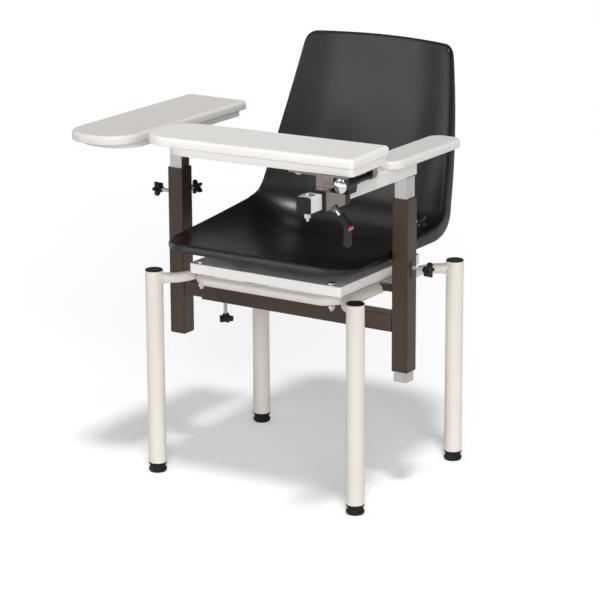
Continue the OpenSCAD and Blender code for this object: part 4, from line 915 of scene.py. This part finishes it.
# A board is a narrow lower layer under a wide upper one, FIT apart.
BOARD_WIDTH, BOARD_TOP, BOARD_EDGE, CORE_IN = 155.0, 19.0, 7.0, 6.0
ROUND_R, SQUARE_R, FIT = 66.0, 9.0, 0.3
# Rear end of the left board behind its post, and front edge of the flip-up board ahead
# of the posts.
LEFT_BEHIND, FLIP_AHEAD = 156.0, 309.0
# Length, lower thickness, how far the lower layer starts after the upper one and ends
# before it, place and turn of the square end, body and foil.
BOARDS = {
    "left": (467.0, 12.5, 17.0, 34.0, (-305.8, LEFT_BEHIND - POST_AHEAD, 726.0), -90.0,
             "left_arm", board_foil),
    "flip": (497.0, 16.5, 3.0, 49.0, (324.3, BOARD_WIDTH / 2 - FLIP_AHEAD - POST_AHEAD, 743.4),
             183.0, "flip_arm", flip_foil_painted_bright),
}
ARMREST_LENGTH, ARMREST_WIDTH, ARMREST_THICK, ARMREST_R = 280.0, 77.0, 17.6, 31.0
# Middle line of the armrest, its reach ahead of the post and its underside.
ARMREST_X, ARMREST_AHEAD, ARMREST_Z = 262.3, 98.0, 712.4


def make_boards():
    """The two layers of the left and the flip-up board, and the right armrest's pad."""
    for side, (length, core, start, setback, end, turn, body, foil) in BOARDS.items():
        place = board_place(*end, turn)
        lower = board_slab(
            side + "_board_lower", length - start - setback, BOARD_WIDTH - 2 * CORE_IN, core,
            ROUND_R - CORE_IN, SQUARE_R, BOARD_EDGE / 3, foil,
            place @ Matrix.Translation((start, 0, 0)))
        settle(lower, body, foil, side + "_board_core")
        upper = board_slab(
            side + "_board_upper", length, BOARD_WIDTH, BOARD_TOP, ROUND_R, SQUARE_R, BOARD_EDGE,
            foil, place @ Matrix.Translation((0, 0, core + FIT)))
        settle(upper, body, foil, side + "_board_top")
    pad = board_slab(
        "armrest_slab", ARMREST_LENGTH, ARMREST_WIDTH, ARMREST_THICK, ARMREST_R, ARMREST_R,
        BOARD_EDGE, armrest_foil,
        board_place(ARMREST_X, ARMREST_LENGTH - ARMREST_AHEAD - POST_AHEAD, ARMREST_Z + FIT, -90.0))
    settle(pad, "right_arm", armrest_foil, "armrest_pad")


# Star knobs and screws

KNOBS = {
    "left_side": (-1, 0, 0), "left_rear": (0, 1, 0), "right_rear": (0, 1, 0),
    "lower_right": (1, 0, 0), "crossbar": (0, 0, -1),
}
NECK_R, STAR_R, VALLEY_R, KNOB_H = 7.0, 16.4, 8.7, 18.0
LOBES, LOBE_POWER, STAR_POINTS = 5, 1.35, 80
# Share of the star, growth of the outline and height of each level, neck first; the
# last ones sink the middle of the knob's end.
KNOB_LEVELS = (
    (0, -0.6, 0), (0, 0, 0.5), (0, 0, 3.4), (0.10, 0, 4.6), (0.45, 0, 5.6), (0.85, -0.5, 6.3),
    (1, -0.3, 7.4), (1, 0, 8.6), (1, 0, 11.9), (1, 0.12, 12.2), (1, 0, 12.5), (1, 0, 15.6),
    (1, -0.35, 16.7), (1, -1.2, 17.5), (1, -2.6, KNOB_H), (0.6, -3.4, KNOB_H),
    (0, -1.2, KNOB_H), (0, -2.0, KNOB_H - 0.5), (0, -2.4, KNOB_H - 1.0),
    (0, -5.0, KNOB_H - 1.1),
)
# Diameter and pitch of the knobs' screws, in metres.
SCREW_D, SCREW_PITCH = 0.008, 0.00125


def standing(node, axis):
    """Matrix that stands a piece on a solid's near end with Z along the axis, and the
    solid's length along it."""
    low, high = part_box(node)
    axis = Vector(axis)
    size = high - low
    reach = abs(size.dot(Vector(map(abs, axis))))
    base = (low + high) / 2 - axis * reach / 2
    return Matrix.Translation(base) @ axis.to_track_quat("Z", "Y").to_matrix().to_4x4(), reach


def star_ring(share, grow, z):
    """Outline between a plain circle (share 0) and the lobed star (share 1)."""
    ring = []
    for i in range(STAR_POINTS):
        a = 2 * math.pi * i / STAR_POINTS
        lobe = (0.5 + 0.5 * math.cos(LOBES * a)) ** LOBE_POWER
        star = VALLEY_R + (STAR_R - VALLEY_R) * lobe
        r = (1 - share) * NECK_R + share * star + grow
        ring.append((r * math.cos(a), r * math.sin(a), z))
    return ring


def make_knob(name, axis):
    """A star knob and its threaded screw."""
    place, _ = standing(name + "_knob", axis)
    rings = [[place @ (Vector(p) * MM) for p in star_ring(*level)] for level in KNOB_LEVELS]
    knob = stacked(name + "_star", rings, black_plastic)
    settle(knob, body_of[name + "_knob"], black_plastic, name + "_knob")
    place, reach = standing(name + "_screw", axis)
    # The tree draws the whole screw, so the line under it only starts the mesh.
    base = line_mesh(name, [(0, 0, 0), (0, 0, 0.001)])
    screw = made_by(threaded_screw, name + "_thread", base, bright_zinc,
                    Diameter=SCREW_D, Length=reach, Pitch=SCREW_PITCH)
    screw.data.transform(place)
    settle(screw, body_of[name + "_screw"], bright_zinc, name + "_screw")


# Floor and light

FLOOR_REACH = 14
# Reflectance of the paper floor, what it adds to the camera's view, the even light from
# all round, and the reflected brightness that every direction has.
PAPER, PAPER_GLOW, ROUND_LIGHT, MIRROR_BASE = 0.84, 0.20, 0.29, 0.30
# Upward parts of the way looked between which the reflected room darkens, and its share
# left over them.
DIM_FROM, DIM_TO, DIMMED = 0.12, 0.55, 0.20
# Lights seen in reflections only: way to each, cosines where it starts and is full, strength.
ROOM_LIGHTS = (((0.15, -0.99, 0.0), -0.2, 0.85, 1.25), ((-0.42, -0.90, 0.11), 0.90, 0.99, 1.9))
STRIPS = (((-0.53, -0.25, 0.81), 0.93, 0.98, 1.15), ((-0.995, -0.05, 0.02), 0.98, 0.997, 3.2))
# Way to each lamp, its strength and its spread in degrees.
LAMPS = {
    "key_lamp": ((0.20, -0.29, 1.0), 0.52, 7.0),
    "fill_lamp": ((0.62, -0.78, 0.36), 0.56, 32.0),
}
LAMP_DISTANCE = 4
WHITE = (1, 1, 1, 1)


def make_floor():
    """White paper floor, a little brighter to the camera, that takes the chair's shadow."""
    mesh = bpy.data.meshes.new("studio_floor")
    corners = [(x * FLOOR_REACH, y * FLOOR_REACH, 0)
               for x, y in ((-1, -1), (1, -1), (1, 1), (-1, 1))]
    mesh.from_pydata(corners, [], [(0, 1, 2, 3)])
    floor = new_object("studio_floor", mesh)
    material = bpy.data.materials.new("studio floor")
    tree = empty_tree(material)
    end = tree.nodes.new("ShaderNodeOutputMaterial")
    paper = add(tree, "ShaderNodeBsdfDiffuse", {"Color": (PAPER, PAPER, PAPER, 1)})
    ray = add(tree, "ShaderNodeLightPath").outputs["Is Camera Ray"]
    glow = add(tree, "ShaderNodeEmission", {"Color": WHITE})
    tree.links.new(sums(tree, "MULTIPLY", ray, PAPER_GLOW), glow.inputs["Strength"])
    both = tree.nodes.new("ShaderNodeAddShader")
    tree.links.new(paper.outputs[0], both.inputs[0])
    tree.links.new(glow.outputs[0], both.inputs[1])
    tree.links.new(both.outputs[0], end.inputs["Surface"])
    mesh.materials.append(material)


def with_lights(tree, way, bright, lights):
    """Adds soft round lights to a brightness that depends on the way looked."""
    for toward, start, full, strength in lights:
        facing = add(tree, "ShaderNodeVectorMath", {0: way, 1: toward},
                     operation="DOT_PRODUCT").outputs["Value"]
        light = ranged(tree, facing, start, full, 0.0, strength, SOFTLY)
        bright = sums(tree, "ADD", bright, light)
    return bright


def make_world():
    """Even light all round, a room with lights in reflections, and white to the camera."""
    world = bpy.data.worlds.new("studio")
    scene.world = world
    tree = empty_tree(world)
    end = tree.nodes.new("ShaderNodeOutputWorld")
    rays = add(tree, "ShaderNodeLightPath")
    sharp = sums(tree, "MAXIMUM", rays.outputs["Is Glossy Ray"],
                 rays.outputs["Is Transmission Ray"])
    way = add(tree, "ShaderNodeTexCoord").outputs["Generated"]
    up = add(tree, "ShaderNodeSeparateXYZ", {0: way}).outputs["Z"]
    dimmer = ranged(tree, up, DIM_FROM, DIM_TO, 1.0, DIMMED, SOFTLY)
    room = sums(tree, "ADD", with_lights(tree, way, 0.0, ROOM_LIGHTS), MIRROR_BASE)
    bright = with_lights(tree, way, sums(tree, "MULTIPLY", room, dimmer), STRIPS)
    fill, mirrored, shown = [
        add(tree, "ShaderNodeBackground", {"Color": WHITE, "Strength": strength}).outputs[0]
        for strength in (ROUND_LIGHT, bright, 1.0)]
    unseen = add(tree, "ShaderNodeMixShader", {0: sharp, 1: fill, 2: mirrored}).outputs[0]
    whole = add(tree, "ShaderNodeMixShader",
                {0: rays.outputs["Is Camera Ray"], 1: unseen, 2: shown}).outputs[0]
    tree.links.new(whole, end.inputs["Surface"])


def make_lamps():
    """A high key lamp and a broad fill lamp."""
    for name, (way, strength, spread) in LAMPS.items():
        lamp = bpy.data.lights.new(name, "SUN")
        lamp.energy = strength * math.pi
        lamp.angle = math.radians(spread)
        holder = new_object(name, lamp)
        holder.location = Vector(way).normalized() * LAMP_DISTANCE
        # The world stands for the broad lamp in reflections, so it adds no second glare.
        holder.visible_glossy = name == "key_lamp"
        holder.rotation_mode = "QUATERNION"
        holder.rotation_quaternion = Vector(way).to_track_quat("Z", "Y")


scene.view_settings.view_transform = "Standard"
aim_camera()
make_floor()
make_world()
make_lamps()
for material, members in STAYS.items():
    for member in members:
        dress(member, material, EDGES.get(member, EDGE))
make_rails()
make_seat_shell()
make_boards()
for name, axis in KNOBS.items():
    make_knob(name, axis)
